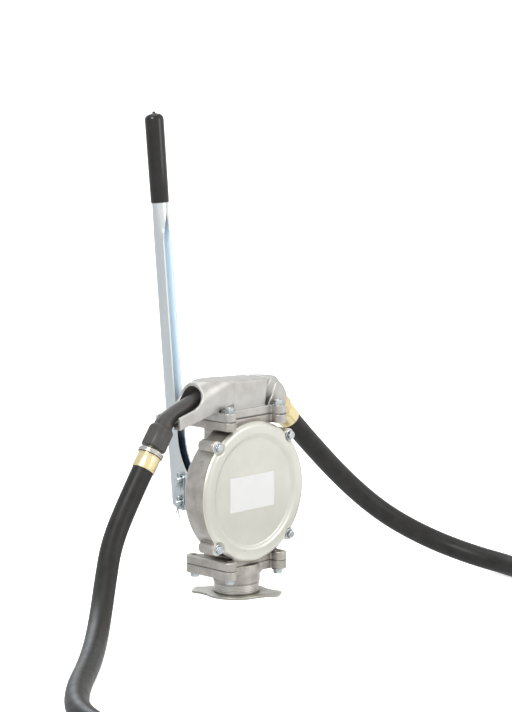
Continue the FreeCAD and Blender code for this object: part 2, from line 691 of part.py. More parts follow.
def lever_outline():
    """Side view of the lever: straight back, and a front edge that curves out to the clevis."""
    half_d = LEVER_DEPTH / 2
    base_z = PIVOT_Z - 10.5
    front = PIVOT_Y - CLEVIS_REACH
    edges = Part.Wire(Part.makePolygon([
        Vector(0, lever_line(LEVER_TOP_Z) - half_d, LEVER_TOP_Z),
        Vector(0, lever_line(LEVER_TOP_Z) + half_d, LEVER_TOP_Z),
        Vector(0, lever_line(PIVOT_Z) + half_d, PIVOT_Z - 3.5),
        Vector(0, lever_line(base_z) + 1.0, base_z),
        Vector(0, front + 5.0, base_z),
        Vector(0, front, base_z + 6.0),
        Vector(0, front, FLARE_LOW_Z),
    ])).Edges
    low = Vector(0, front, FLARE_LOW_Z)
    high = Vector(0, lever_line(FLARE_TOP_Z) - half_d, FLARE_TOP_Z)
    middle = (low + high) * 0.5 + Vector(0, 2.6, -1.6)
    edges.append(Part.Arc(low, middle, high).toShape())
    edges.append(Part.LineSegment(high, Vector(0, lever_line(LEVER_TOP_Z) - half_d, LEVER_TOP_Z)).toShape())
    return Part.Face(Part.Wire(edges))


def lever_arm():
    half_d = LEVER_DEPTH / 2
    outline = lever_outline()
    outline.translate(Vector(-LEVER_HALF_W, 0, 0))
    solid = outline.extrude(Vector(2 * LEVER_HALF_W, 0, 0))
    inner = LEVER_HALF_W - LEVER_WALL
    hollow = plate_x([
        (lever_line(0) + half_d - LEVER_WALL, 0.0), (-60.0, 0.0), (-60.0, LEVER_TOP_Z + 1),
        (lever_line(LEVER_TOP_Z + 1) + half_d - LEVER_WALL, LEVER_TOP_Z + 1),
    ], -inner, inner)
    channel = solid.cut(hollow)
    # the last stretch is closed by rolling the flanges together into the tube under the grip
    neck_z = LEVER_TOP_Z - LEVER_CLOSE_L
    plug = plate_x([
        (lever_line(neck_z) + half_d - LEVER_WALL + 0.01, neck_z),
        (lever_line(LEVER_TOP_Z) - half_d, LEVER_TOP_Z),
        (lever_line(LEVER_TOP_Z) + half_d - LEVER_WALL + 0.01, LEVER_TOP_Z),
    ], -inner - 0.01, inner + 0.01)
    core_low = Vector(0, lever_line(LEVER_TOP_Z - 3), LEVER_TOP_Z - 3)
    core_high = Vector(0, lever_line(GRIP_TOP_Z - 6), GRIP_TOP_Z - 6)
    core = rod(GRIP_CORE_R, core_low, core_high)
    shape = joined([channel, plug, core])
    holes = [
        rod(PIN_R + LOOSE_FIT, Vector(-20, PIVOT_Y, PIVOT_Z), Vector(20, PIVOT_Y, PIVOT_Z)),
        rod(PIN_R + TURN_FIT, Vector(-20, ROD_PIN_Y, BODY_Z), Vector(20, ROD_PIN_Y, BODY_Z)),
    ]
    return largest(without(shape, holes))


def lever_grip():
    low_z = LEVER_TOP_Z
    low = Vector(0, lever_line(low_z), low_z)
    high = Vector(0, lever_line(GRIP_TOP_Z), GRIP_TOP_Z)
    along = (high - low).normalize()
    length = (high - low).Length
    side = along.cross(X_AXIS).normalize()
    grip = turned([
        (0.0, 0.0), (0.0, GRIP_R - 1.6), (1.6, GRIP_R - 0.4), (length * 0.5, GRIP_R),
        (length - 7.0, GRIP_R), (length - 2.0, GRIP_R - 3.0), (length, GRIP_R - 8.0),
        (length + 1.0, 2.5), (length + 3.0, 2.0), (length + 3.5, 0.0),
    ], low, along, side)
    core_high = Vector(0, lever_line(GRIP_TOP_Z - 6), GRIP_TOP_Z - 6)
    grip = grip.cut(rod(GRIP_CORE_R, low - along * 3.5, core_high))
    return largest(grip.cut(box(-40, 40, 0, 300, LEVER_TOP_Z - 20, LEVER_TOP_Z)))


def pivot_straps():
    """Strap outside each side plate, over both pins, with a rivet at its lower corner."""
    straps = []
    rivet_z = PIVOT_Z - 1.5
    for side in (-1, 1):
        x0 = side * LEVER_HALF_W
        x1 = side * (LEVER_HALF_W + STRAP_T)
        low, high = min(x0, x1), max(x0, x1)
        spots = [(ROD_PIN_Y, BODY_Z, STRAP_R), (PIVOT_Y, PIVOT_Z, STRAP_R), (STRAP_PIN_Y, rivet_z, 5.5)]
        discs = [rod(r, Vector(low, y, z), Vector(high, y, z)) for y, z, r in spots]
        bar = plate_x([
            (ROD_PIN_Y - STRAP_R, BODY_Z), (PIVOT_Y - STRAP_R, PIVOT_Z), (PIVOT_Y, PIVOT_Z - STRAP_R),
            (STRAP_PIN_Y, rivet_z - 5.5), (STRAP_PIN_Y + 5.5, rivet_z), (ROD_PIN_Y + STRAP_R, BODY_Z),
        ], low, high)
        rivet = rod(RIVET_R, Vector(x1, STRAP_PIN_Y, rivet_z), Vector(x1 + side * 2.0, STRAP_PIN_Y, rivet_z))
        strap = joined(discs + [bar, rivet])
        holes = [
            rod(PIN_R + LOOSE_FIT, Vector(-20, PIVOT_Y, PIVOT_Z), Vector(20, PIVOT_Y, PIVOT_Z)),
            rod(PIN_R + TURN_FIT, Vector(-20, ROD_PIN_Y, BODY_Z), Vector(20, ROD_PIN_Y, BODY_Z)),
        ]
        straps.append(largest(without(strap, holes)))
    return Part.makeCompound(straps)


def clevis_pin(y, z, fit_gap):
    """Pin with a flat head on +X and a cross hole for its cotter on -X."""
    outer = LEVER_HALF_W + STRAP_T + fit_gap
    shank = rod(PIN_R, Vector(-outer - 8.0, y, z), Vector(outer, y, z))
    head = rod(PIN_R + 2.4, Vector(outer, y, z), Vector(outer + 2.5, y, z))
    hole = rod(1.25, Vector(-outer - 4.0, y, z - 9), Vector(-outer - 4.0, y, z + 9))
    return joined([shank, head]).cut(hole)


def cotter(y, z, fit_gap):
    """Split pin: an eye above the pin and two legs that hang below it."""
    x = -LEVER_HALF_W - STRAP_T - fit_gap - 4.0
    leg = rod(1.1, Vector(x, y, z - PIN_R - 9.0), Vector(x, y, z + PIN_R + 1.5))
    spread = rod(0.9, Vector(x, y + 0.1, z - PIN_R - 1.5), Vector(x, y - 3.5, z - PIN_R - 10.0))
    eye = Part.makeTorus(2.4, 1.1, Vector(x, y, z + PIN_R + 3.8), X_AXIS)
    return joined([leg, spread, eye])


# ---------------------------------------------------------------- outlet manifold
def direction(degrees_down, towards):
    angle = math.radians(degrees_down)
    return Vector(towards * math.cos(angle), 0, -math.sin(angle))


def roof_height(x):
    return ROOF_Z - ROOF_FALL * (x - ROOF_X)


def holster_axis(x):
    """Height of the holster's middle line."""
    return HOLSTER_MOUTH.z + (x - HOLSTER_MOUTH.x) * math.tan(math.radians(HOLSTER_SLOPE))


def holster_floor(x):
    """Height of the holster's underside."""
    return holster_axis(x) - 15.6 - 0.11 * (x - HOLSTER_END_X)


def arch(radius, x0, x1):
    """Round-topped bar along the holster's middle line, with straight sides below that line."""
    low = Vector(x0, 0, holster_axis(x0))
    high = Vector(x1, 0, holster_axis(x1))
    sides = plate_y([(x0, low.z), (x1, high.z), (x1, low.z - 40.0), (x0, low.z - 40.0)], -radius, radius)
    return joined([rod(radius, low, high), sides])


def holster_outline():
    """Side view of the holster: the lip's low side walls, the upright mouth and the roof."""
    inner_x = MANIFOLD_LEFT + 8.0
    mouth = HOLSTER_MOUTH
    return [
        (HOLSTER_END_X, holster_floor(HOLSTER_END_X)), (inner_x, holster_floor(inner_x)),
        (inner_x, roof_height(inner_x)), (mouth.x - 1.5, roof_height(mouth.x)),
        (mouth.x - 2.3, mouth.z + 11.2), (mouth.x - 3.8, mouth.z + 6.2), (mouth.x - 6.8, mouth.z + 0.6),
        (mouth.x - 11.0, mouth.z - 4.0), (mouth.x - 17.5, mouth.z - 7.6), (HOLSTER_END_X, mouth.z - 15.7),
    ]


def holster_room():
    """Channel and bore that the nozzle's spout stands in."""
    start_x = HOLSTER_END_X - 20.0
    end_x = HOLSTER_DEPTH_X
    room = arch(HOLSTER_BORE_R, start_x, end_x)
    limits = plate_y([
        (start_x, holster_floor(start_x) + HOLSTER_FLOOR_T), (end_x, holster_floor(end_x) + HOLSTER_FLOOR_T),
        (end_x, roof_height(end_x) - 4.0), (start_x, roof_height(end_x) - 4.0),
    ], -HOLSTER_R, HOLSTER_R)
    return room.common(limits)


def manifold_chest():
    """Box over the outlet valves, with rounded upper edges and an end wall that leans out."""
    low = JOINT_TOP + GASKET_T
    right_top = MANIFOLD_RIGHT + MANIFOLD_LEAN
    chest = plate_y([
        (MANIFOLD_LEFT, low), (MANIFOLD_RIGHT, low), (right_top, roof_height(right_top)),
        (MANIFOLD_LEFT, roof_height(MANIFOLD_LEFT)),
    ], -MANIFOLD_HALF_Y, MANIFOLD_HALF_Y)
    upper = []
    for edge in chest.Edges:
        a, b = edge.Vertexes[0].Point, edge.Vertexes[-1].Point
        if min(a.z, b.z) > TOP_FLANGE_TOP and abs(a.x - b.x) > MANIFOLD_ROUND:
            upper.append(edge)
    return chest.makeFillet(MANIFOLD_ROUND, upper)


OUTLET_DIR = direction(OUTLET_DOWN, 1)
NOZZLE_DIR = direction(NOZZLE_DOWN, -1)


def outlet_manifold():
    low = JOINT_TOP + GASKET_T
    down = OUTLET_DIR
    across = Vector(down.z, 0, -down.x)
    holster = arch(HOLSTER_R, HOLSTER_END_X - 10.0, MANIFOLD_LEFT + 8.0)
    holster = holster.common(plate_y(holster_outline(), -HOLSTER_R, HOLSTER_R))
    foot = box(FOOT_LEFT, MANIFOLD_LEFT + 1.0, -FOOT_HALF_Y, FOOT_HALF_Y, low, TOP_FLANGE_TOP + FOOT_H)
    boss = turned([
        (-OUTLET_BOSS_L, 0.0), (-OUTLET_BOSS_L, OUTLET_R), (-14.0, OUTLET_R),
        (-6.0, OUTLET_R - 2.0), (0.0, OUTLET_FACE_R), (0.0, 0.0),
    ], OUTLET_FACE, down, across)
    rib = plate_y([
        (RIB_TOP_X - RIB_W, roof_height(RIB_TOP_X) - 6), (RIB_TOP_X, roof_height(RIB_TOP_X) - 8),
        (RIB_FOOT_X, TOP_FLANGE_TOP - 2), (RIB_FOOT_X - RIB_W, TOP_FLANGE_TOP - 2),
    ], -MANIFOLD_HALF_Y, RIB_Y)
    shape = joined([manifold_chest(), holster, foot, boss, rib])
    above = plate_y([
        (-200.0, roof_height(-200.0)), (200.0, roof_height(200.0)), (200.0, ROOF_Z + 60), (-200.0, ROOF_Z + 60),
    ], -60, 60)
    under = box(-FLANGE_HALF_X - 1.0, FLANGE_HALF_X + 1.5, -60, 60, 0, low)
    shape = joined([without(shape, [above, under]), flange(low, TOP_FLANGE_TOP)])
    outlet_bore = rod(OUTLET_BORE_R, OUTLET_FACE - down * OUTLET_BORE_L, OUTLET_FACE + down)
    cavity = box(CAVITY_LEFT, CAVITY_RIGHT, -CAVITY_HALF_Y, CAVITY_HALF_Y, TOP_FLANGE_TOP - 4, CAVITY_TOP)
    passage = box(CAVITY_RIGHT - 4, OUTLET_WAY_END, -OUTLET_WAY_HALF_Y, OUTLET_WAY_HALF_Y,
                  OUTLET_WAY_LOW, CAVITY_TOP)
    elbow_room = rod(ELBOW_R + ELBOW_GAP, NOZZLE_TOP + NOZZLE_DIR * 5.0, NOZZLE_TOP - NOZZLE_DIR * ELBOW_ROOM_L)
    pockets = valve_pockets(low - 1, TOP_FLANGE_TOP - 3)
    shape = without(shape, [holster_room(), outlet_bore, cavity, passage, elbow_room] + pockets)
    return largest(without(shape, bolt_holes(low - 1, ROOF_Z + 1) + screw_head_room()))


def screw_head_room():
    return [Part.makeCylinder(WASHER_R + 0.8, 60, Vector(x, y, TOP_FLANGE_TOP)) for x, y in bolt_places()]


# ---------------------------------------------------------------- hose and its ends
def outlet_stations():
    fitting_end = OUTLET_FACE + OUTLET_DIR * HOSE_FITTING_L
    return fitting_end, fitting_end + OUTLET_DIR * FERRULE_L


def nozzle_stations():
    collar_end = NOZZLE_TOP + NOZZLE_DIR * NOZZLE_COLLAR_L
    ring_end = collar_end + NOZZLE_DIR * NOZZLE_RING_L
    return collar_end, ring_end, ring_end + NOZZLE_DIR * FERRULE_L


def outlet_fitting():
    fitting_end = outlet_stations()[0]
    body = hexagon(30.0, OUTLET_FACE, fitting_end)
    stub = rod(OUTLET_BORE_R - 0.02, OUTLET_FACE - OUTLET_DIR * 12.0, OUTLET_FACE)
    bore = rod(HOSE_BORE_R, OUTLET_FACE - OUTLET_DIR * 13.0, fitting_end + OUTLET_DIR)
    return joined([body, stub]).cut(bore)


def outlet_ferrule():
    start, end = outlet_stations()
    return rod(FERRULE_R, start, end).cut(rod(HOSE_BORE_R, start - OUTLET_DIR, start + OUTLET_DIR * 4))


def nozzle_ring():
    start, end, _ = nozzle_stations()
    hex_end = start + NOZZLE_DIR * NOZZLE_HEX_L
    hexes = hexagon(NOZZLE_HEX_AF, start, hex_end)
    ring = rod(NOZZLE_RING_R, hex_end, end)
    return joined([hexes, ring]).cut(rod(NOZZLE_BORE_R, start - NOZZLE_DIR, end + NOZZLE_DIR))


def nozzle_ferrule():
    _, start, end = nozzle_stations()
    return rod(FERRULE_R, start, end).cut(rod(NOZZLE_BORE_R, start - NOZZLE_DIR, start + NOZZLE_DIR * 4))


def nozzle_spout():
    """Moulded spout: a squared collar, an elbow and the tube that stands in the holster."""
    collar_end = nozzle_stations()[0]
    collar = hexagon(NOZZLE_COLLAR_W, NOZZLE_TOP, collar_end)
    tip = Vector(SPOUT_TIP_X, 0, holster_axis(SPOUT_TIP_X))
    bend = spout_bend()
    along = (tip - bend).normalize()
    straight = rod(SPOUT_R, bend, tip)
    elbow = rod(ELBOW_R, NOZZLE_TOP + NOZZLE_DIR, bend)
    knuckle = Part.makeSphere(ELBOW_R, bend)
    shape = joined([collar, elbow, knuckle, straight])
    bore = joined([rod(SPOUT_BORE_R, bend, tip + along), rod(SPOUT_BORE_R, bend, collar_end + NOZZLE_DIR)])
    return shape.cut(bore)


def spout_bend():
    """Where the collar's middle line meets the spout's, which lies along the holster's."""
    slope = math.tan(math.radians(HOLSTER_SLOPE))
    gap = holster_axis(NOZZLE_TOP.x) - NOZZLE_TOP.z
    run = gap / (-NOZZLE_DIR.z - slope * -NOZZLE_DIR.x)
    return NOZZLE_TOP - NOZZLE_DIR * run


def hose_points():
    start = outlet_stations()[1]
    end = nozzle_stations()[2]
    points = [start, start + OUTLET_DIR * HOSE_EXIT_RUN]
    points += [Vector(*p) for p in HOSE_ROUTE]
    points += [end + NOZZLE_DIR * HOSE_EXIT_RUN, end]
    return points


def rounded_path(points):
    """Straight runs joined by tangent arcs. Returns the edges and the arcs' radii."""
    edges = []
    radii = []
    previous = points[0]
    for before, corner, after in zip(points, points[1:], points[2:]):
        towards = (corner - before).normalize()
        away = (after - corner).normalize()
        half_turn = towards.getAngle(away) / 2
        cut = 0.45 * min((corner - before).Length, (after - corner).Length)
        radius = cut / math.tan(half_turn)
        radii.append((radius, math.degrees(2 * half_turn), (corner - before).Length))
        enter = corner - towards * cut
        leave = corner + away * cut
        inward = (away - towards).normalize()
        middle = corner + inward * (radius / math.cos(half_turn) - radius)
        edges.append(Part.LineSegment(previous, enter).toShape())
        edges.append(Part.Arc(enter, middle, leave).toShape())
        previous = leave
    edges.append(Part.LineSegment(previous, points[-1]).toShape())
    return edges, radii


def hose():
    points = hose_points()
    edges, radii = rounded_path(points)
    for number, (radius, turn, run) in enumerate(radii, 1):
        print("hose arc", number, "radius", round(radius, 1), "turn", round(turn, 1), "run", round(run, 1))
    path = Part.Wire(edges)
    start_dir = (points[1] - points[0]).normalize()
    section = Part.Wire([Part.makeCircle(HOSE_R, points[0], start_dir)])
    shape = path.makePipeShell([section], True, False)
    shape = shape if shape.ShapeType == "Solid" else Part.makeSolid(shape)
    area = math.pi * HOSE_R ** 2
    print("hose length", round(path.Length, 1), "volume ratio", round(shape.Volume / (area * path.Length), 4))
    return shape


# ---------------------------------------------------------------- write the parts
def main():
    os.makedirs("parts", exist_ok=True)
    seat_low = GASKET_BOTTOM
    seat_high = JOINT_TOP
    half = CUP_T / 2
    nodes = {
        "inlet_casting": inlet_casting(),
        "inlet_gasket": gasket(GASKET_BOTTOM, JOINT_BOTTOM),
        "inlet_screws": hex_screws(INLET_FLANGE_BOTTOM, True),
        "inlet_valve_seat": seat_plate(seat_low),
        "inlet_valve_front": valve_disc(-VALVE_Y, seat_low),
        "inlet_valve_rear": valve_disc(VALVE_Y, seat_low),
        "wing_collar": wing_collar(),
        "body_casting": body_casting(),
        "cover_gasket": cover_gasket(),
        "front_cover": front_cover(),
        "cover_screws": cover_screws(),
        "cover_label": cover_label(),
        "outlet_valve_seat": seat_plate(seat_high),
        "outlet_valve_front": valve_disc(-VALVE_Y, seat_high),
        "outlet_valve_rear": valve_disc(VALVE_Y, seat_high),
        "manifold_gasket": gasket(JOINT_TOP, JOINT_TOP + GASKET_T),
        "outlet_manifold": outlet_manifold(),
        "manifold_screws": hex_screws(TOP_FLANGE_TOP, False),
        "rod_bushing": rod_bushing(),
        "rod_seal": rod_seal(),
        "seal_retainer": seal_retainer(),
        "plunger_rod": plunger_rod(),
        "piston_plate_front": piston_plate(PISTON_Y - half - PLATE_T, PISTON_Y - half),
        "piston_cup": piston_cup(),
        "piston_plate_rear": piston_plate(PISTON_Y + half, PISTON_Y + half + PLATE_T),
        "rod_nut": rod_nut(),
        "fulcrum_bracket": fulcrum_bracket(),
        "bracket_screws": bracket_screws(),
        "fulcrum_pin": clevis_pin(PIVOT_Y, PIVOT_Z, SIDE_GAP),
        "fulcrum_cotter": cotter(PIVOT_Y, PIVOT_Z, SIDE_GAP),
        "rod_pin": clevis_pin(ROD_PIN_Y, BODY_Z, 0.02),
        "rod_cotter": cotter(ROD_PIN_Y, BODY_Z, 0.02),
        "lever_arm": lever_arm(),
        "lever_grip": lever_grip(),
        "pivot_straps": pivot_straps(),
        "outlet_fitting": outlet_fitting(),
        "outlet_ferrule": outlet_ferrule(),
        "hose": hose(),
        "nozzle_ferrule": nozzle_ferrule(),
        "nozzle_ring": nozzle_ring(),
        "nozzle_spout": nozzle_spout(),
    }
    for node, shape in nodes.items():
        save(shape, node)
        print(node, "solids", len(shape.Solids), "valid", shape.isValid(), "volume", round(shape.Volume))


main()
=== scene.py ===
import math

import bmesh
import bpy
from mathutils import Matrix, Vector


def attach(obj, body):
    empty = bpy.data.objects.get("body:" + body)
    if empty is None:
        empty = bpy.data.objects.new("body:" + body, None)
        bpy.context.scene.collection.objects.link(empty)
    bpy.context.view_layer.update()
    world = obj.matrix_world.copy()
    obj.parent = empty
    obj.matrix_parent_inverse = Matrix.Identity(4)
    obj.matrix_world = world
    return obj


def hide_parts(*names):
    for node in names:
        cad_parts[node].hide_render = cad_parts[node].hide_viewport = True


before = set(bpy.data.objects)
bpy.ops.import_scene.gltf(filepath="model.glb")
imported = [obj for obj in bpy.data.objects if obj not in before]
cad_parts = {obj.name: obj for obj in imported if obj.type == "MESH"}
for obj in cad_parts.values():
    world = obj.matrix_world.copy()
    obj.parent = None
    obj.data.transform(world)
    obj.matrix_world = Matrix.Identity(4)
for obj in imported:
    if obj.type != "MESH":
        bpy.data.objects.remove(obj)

# A lever hand pump for a drum, in metres, in the CAD model's own place. Sizes that are easier
# to read in millimetres are written as numbers times MM.

MM = 0.001
X_AXIS = Vector((1, 0, 0))
Y_AXIS = Vector((0, 1, 0))
Z_AXIS = Vector((0, 0, 1))


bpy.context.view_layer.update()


# ---------------------------------------------------------------- camera and hose
AZIMUTH = math.radians(46)      # the camera looks from the front, turned to the left by this much
PITCH = math.radians(8.3)       # and down by this much
CAMERA_DISTANCE = 3.4
AIM_RIGHT = 0.02635             # where the camera looks, in its own right and up
AIM_UP = 0.320


def make_camera():
    """The camera that sees the pump as the photograph does."""
    right = Vector((math.cos(AZIMUTH), -math.sin(AZIMUTH), 0))
    level = Vector((-math.sin(AZIMUTH), -math.cos(AZIMUTH), 0))
    back = level * math.cos(PITCH) + Z_AXIS * math.sin(PITCH)
    up = back.cross(right)
    target = right * AIM_RIGHT + up * AIM_UP
    data = bpy.data.cameras.new("camera")
    data.lens = 127.2
    data.sensor_width = 36
    camera = bpy.data.objects.new("camera", data)
    bpy.context.collection.objects.link(camera)
    turn = Matrix((right, up, back)).transposed().to_4x4()
    camera.matrix_world = Matrix.Translation(target + back * CAMERA_DISTANCE) @ turn
    bpy.context.scene.camera = camera


HOSE_RADIUS = 14.3 * MM
HOSE_EXIT = (0.10370, 0.0, 0.22625)
HOSE_POINTS = [
    HOSE_EXIT, (0.14123, 0.0, 0.19026),
    (0.207, -0.012, 0.125), (0.256, -0.038, 0.077), (0.298, -0.080, 0.043), (0.327, -0.137, 0.022),
    (0.335, -0.211, 0.0143), (0.310, -0.286, 0.0143), (0.248, -0.357, 0.0143), (0.150, -0.435, 0.0143),
    (0.040, -0.522, 0.0143), (-0.070, -0.606, 0.0143), (-0.165, -0.677, 0.0143), (-0.252, -0.714, 0.0143),
    (-0.340, -0.712, 0.0143), (-0.418, -0.673, 0.0143), (-0.485, -0.605, 0.0143), (-0.543, -0.530, 0.0143),
    (-0.580, -0.455, 0.0143), (-0.588, -0.375, 0.0143), (-0.560, -0.300, 0.0143), (-0.500, -0.235, 0.0143),
    (-0.430, -0.176, 0.0143), (-0.360, -0.112, 0.016), (-0.304, -0.061, 0.034), (-0.264, -0.027, 0.068),
    (-0.236, -0.008, 0.106), (-0.20199, 0.0, 0.14949), (-0.17239, 0.0, 0.19225),
]


def make_hose():
    """The hose as a round curve from the outlet ferrule to the nozzle ferrule."""
    data = bpy.data.curves.new("hose_line", "CURVE")
    data.dimensions = "3D"
    spline = data.splines.new("NURBS")
    spline.points.add(len(HOSE_POINTS) - 1)
    for point, place in zip(spline.points, HOSE_POINTS):
        point.co = (*place, 1.0)
    spline.order_u = 3
    spline.use_endpoint_u = True
    spline.resolution_u = 14
    data.bevel_depth = HOSE_RADIUS
    data.bevel_resolution = 10
    data.use_fill_caps = True
    hose = bpy.data.objects.new("hose_rubber_tube", data)
    bpy.context.collection.objects.link(hose)
    return hose


make_camera()
hose = make_hose()


# ---------------------------------------------------------------- materials
def finish_of(name, base, shade, metallic, roughness, patch=30.0, grain=900.0, bump=0.1,
              rough_swing=0.06, coat=0.0, painted_hollow_shade=None, edge=None, stretch=(1, 1, 1), below=None,
              specular=0.5):
    """A procedural finish: two shades in patches, fine grain, lightened edges and painted shade in hollows.

    patch and grain are the noise scales of the two shades and of the fine relief. The hollow colour
    is painted shade, laid where ambient occlusion finds hollows; the edge colour lightens sharp edges,
    a painted highlight with some wear. below is (low, high, colour) with two heights in millimetres: the
    finish turns to that colour between high and low, used as painted shade towards the bottom.
    """
    material = bpy.data.materials.new(name)
    material.use_nodes = True
    tree = material.node_tree
    tree.nodes.clear()
    new, link = tree.nodes.new, tree.links.new
    surface = new("ShaderNodeBsdfPrincipled")
    link(surface.outputs["BSDF"], new("ShaderNodeOutputMaterial").inputs["Surface"])
    surface.inputs["Metallic"].default_value = metallic
    surface.inputs["Specular IOR Level"].default_value = specular
    surface.inputs["Coat Weight"].default_value = coat
    surface.inputs["Coat Roughness"].default_value = 0.08
    place = new("ShaderNodeMapping")
    place.inputs["Scale"].default_value = stretch
    link(new("ShaderNodeTexCoord").outputs["Object"], place.inputs["Vector"])
    patches = new("ShaderNodeTexNoise")
    patches.inputs["Scale"].default_value = patch
    patches.inputs["Detail"].default_value = 5.0
    link(place.outputs["Vector"], patches.inputs["Vector"])
    spread = new("ShaderNodeMapRange")
    spread.inputs["From Min"].default_value = 0.36
    spread.inputs["From Max"].default_value = 0.64
    link(patches.outputs["Fac"], spread.inputs["Value"])
    colour = new("ShaderNodeMix")
    colour.data_type = "RGBA"
    colour.inputs[6].default_value = (*base, 1)
    colour.inputs[7].default_value = (*shade, 1)
    link(spread.outputs["Result"], colour.inputs[0])
    last = colour.outputs[2]
    # Painted shade: the colour darkens towards the given bottom colour between the two heights.
    if below:
        height = new("ShaderNodeSeparateXYZ")
        link(new("ShaderNodeTexCoord").outputs["Object"], height.inputs["Vector"])
        depth = new("ShaderNodeMapRange")
        depth.inputs["From Min"].default_value = below[0] * MM
        depth.inputs["From Max"].default_value = below[1] * MM
        depth.inputs["To Min"].default_value = 1.0
        depth.inputs["To Max"].default_value = 0.0
        link(height.outputs["Z"], depth.inputs["Value"])
        painted_low_shade = new("ShaderNodeMix")
        painted_low_shade.data_type = "RGBA"
        painted_low_shade.inputs[7].default_value = (*below[2], 1)
        link(depth.outputs["Result"], painted_low_shade.inputs[0])
        link(last, painted_low_shade.inputs[6])
        last = painted_low_shade.outputs[2]
    # Painted shade: surfaces that ambient occlusion finds in hollows are darkened towards the hollow colour.
    if painted_hollow_shade:
        hollow = new("ShaderNodeAmbientOcclusion")
        hollow.samples = 6
        hollow.inputs["Distance"].default_value = 9 * MM
        deep = new("ShaderNodeMapRange")
        deep.inputs["From Min"].default_value = 0.35
        deep.inputs["From Max"].default_value = 0.9
        deep.inputs["To Min"].default_value = 1.0
        deep.inputs["To Max"].default_value = 0.0
        link(hollow.outputs["AO"], deep.inputs["Value"])
        dark = new("ShaderNodeMix")
        dark.data_type = "RGBA"
        dark.inputs[7].default_value = (*painted_hollow_shade, 1)
        link(deep.outputs["Result"], dark.inputs[0])
        link(last, dark.inputs[6])
        last = dark.outputs[2]
    # Painted highlight, with some wear: sharp convex edges found by pointiness are lightened towards the edge
    # colour.
    if edge:
        edge_wear_and_highlight = new("ShaderNodeMapRange")
        edge_wear_and_highlight.inputs["From Min"].default_value = 0.52
        edge_wear_and_highlight.inputs["From Max"].default_value = 0.60
        link(new("ShaderNodeNewGeometry").outputs["Pointiness"], edge_wear_and_highlight.inputs["Value"])
        edge_wear_and_highlight_mix = new("ShaderNodeMix")
        edge_wear_and_highlight_mix.data_type = "RGBA"
        edge_wear_and_highlight_mix.inputs[7].default_value = (*edge, 1)
        link(edge_wear_and_highlight.outputs["Result"], edge_wear_and_highlight_mix.inputs[0])
        link(last, edge_wear_and_highlight_mix.inputs[6])
        last = edge_wear_and_highlight_mix.outputs[2]
    link(last, surface.inputs["Base Color"])
    dull = new("ShaderNodeMapRange")
    dull.inputs["From Min"].default_value = 0.3
    dull.inputs["From Max"].default_value = 0.7
    dull.inputs["To Min"].default_value = roughness - rough_swing
    dull.inputs["To Max"].default_value = roughness + rough_swing
    link(patches.outputs["Fac"], dull.inputs["Value"])
    link(dull.outputs["Result"], surface.inputs["Roughness"])
    if bump:
        fine = new("ShaderNodeTexNoise")
        fine.inputs["Scale"].default_value = grain
        fine.inputs["Detail"].default_value = 3.0
        link(place.outputs["Vector"], fine.inputs["Vector"])
        relief = new("ShaderNodeBump")
        relief.inputs["Strength"].default_value = bump
        relief.inputs["Distance"].default_value = 0.4 * MM
        link(fine.outputs["Fac"], relief.inputs["Height"])
        link(relief.outputs["Normal"], surface.inputs["Normal"])
    return material
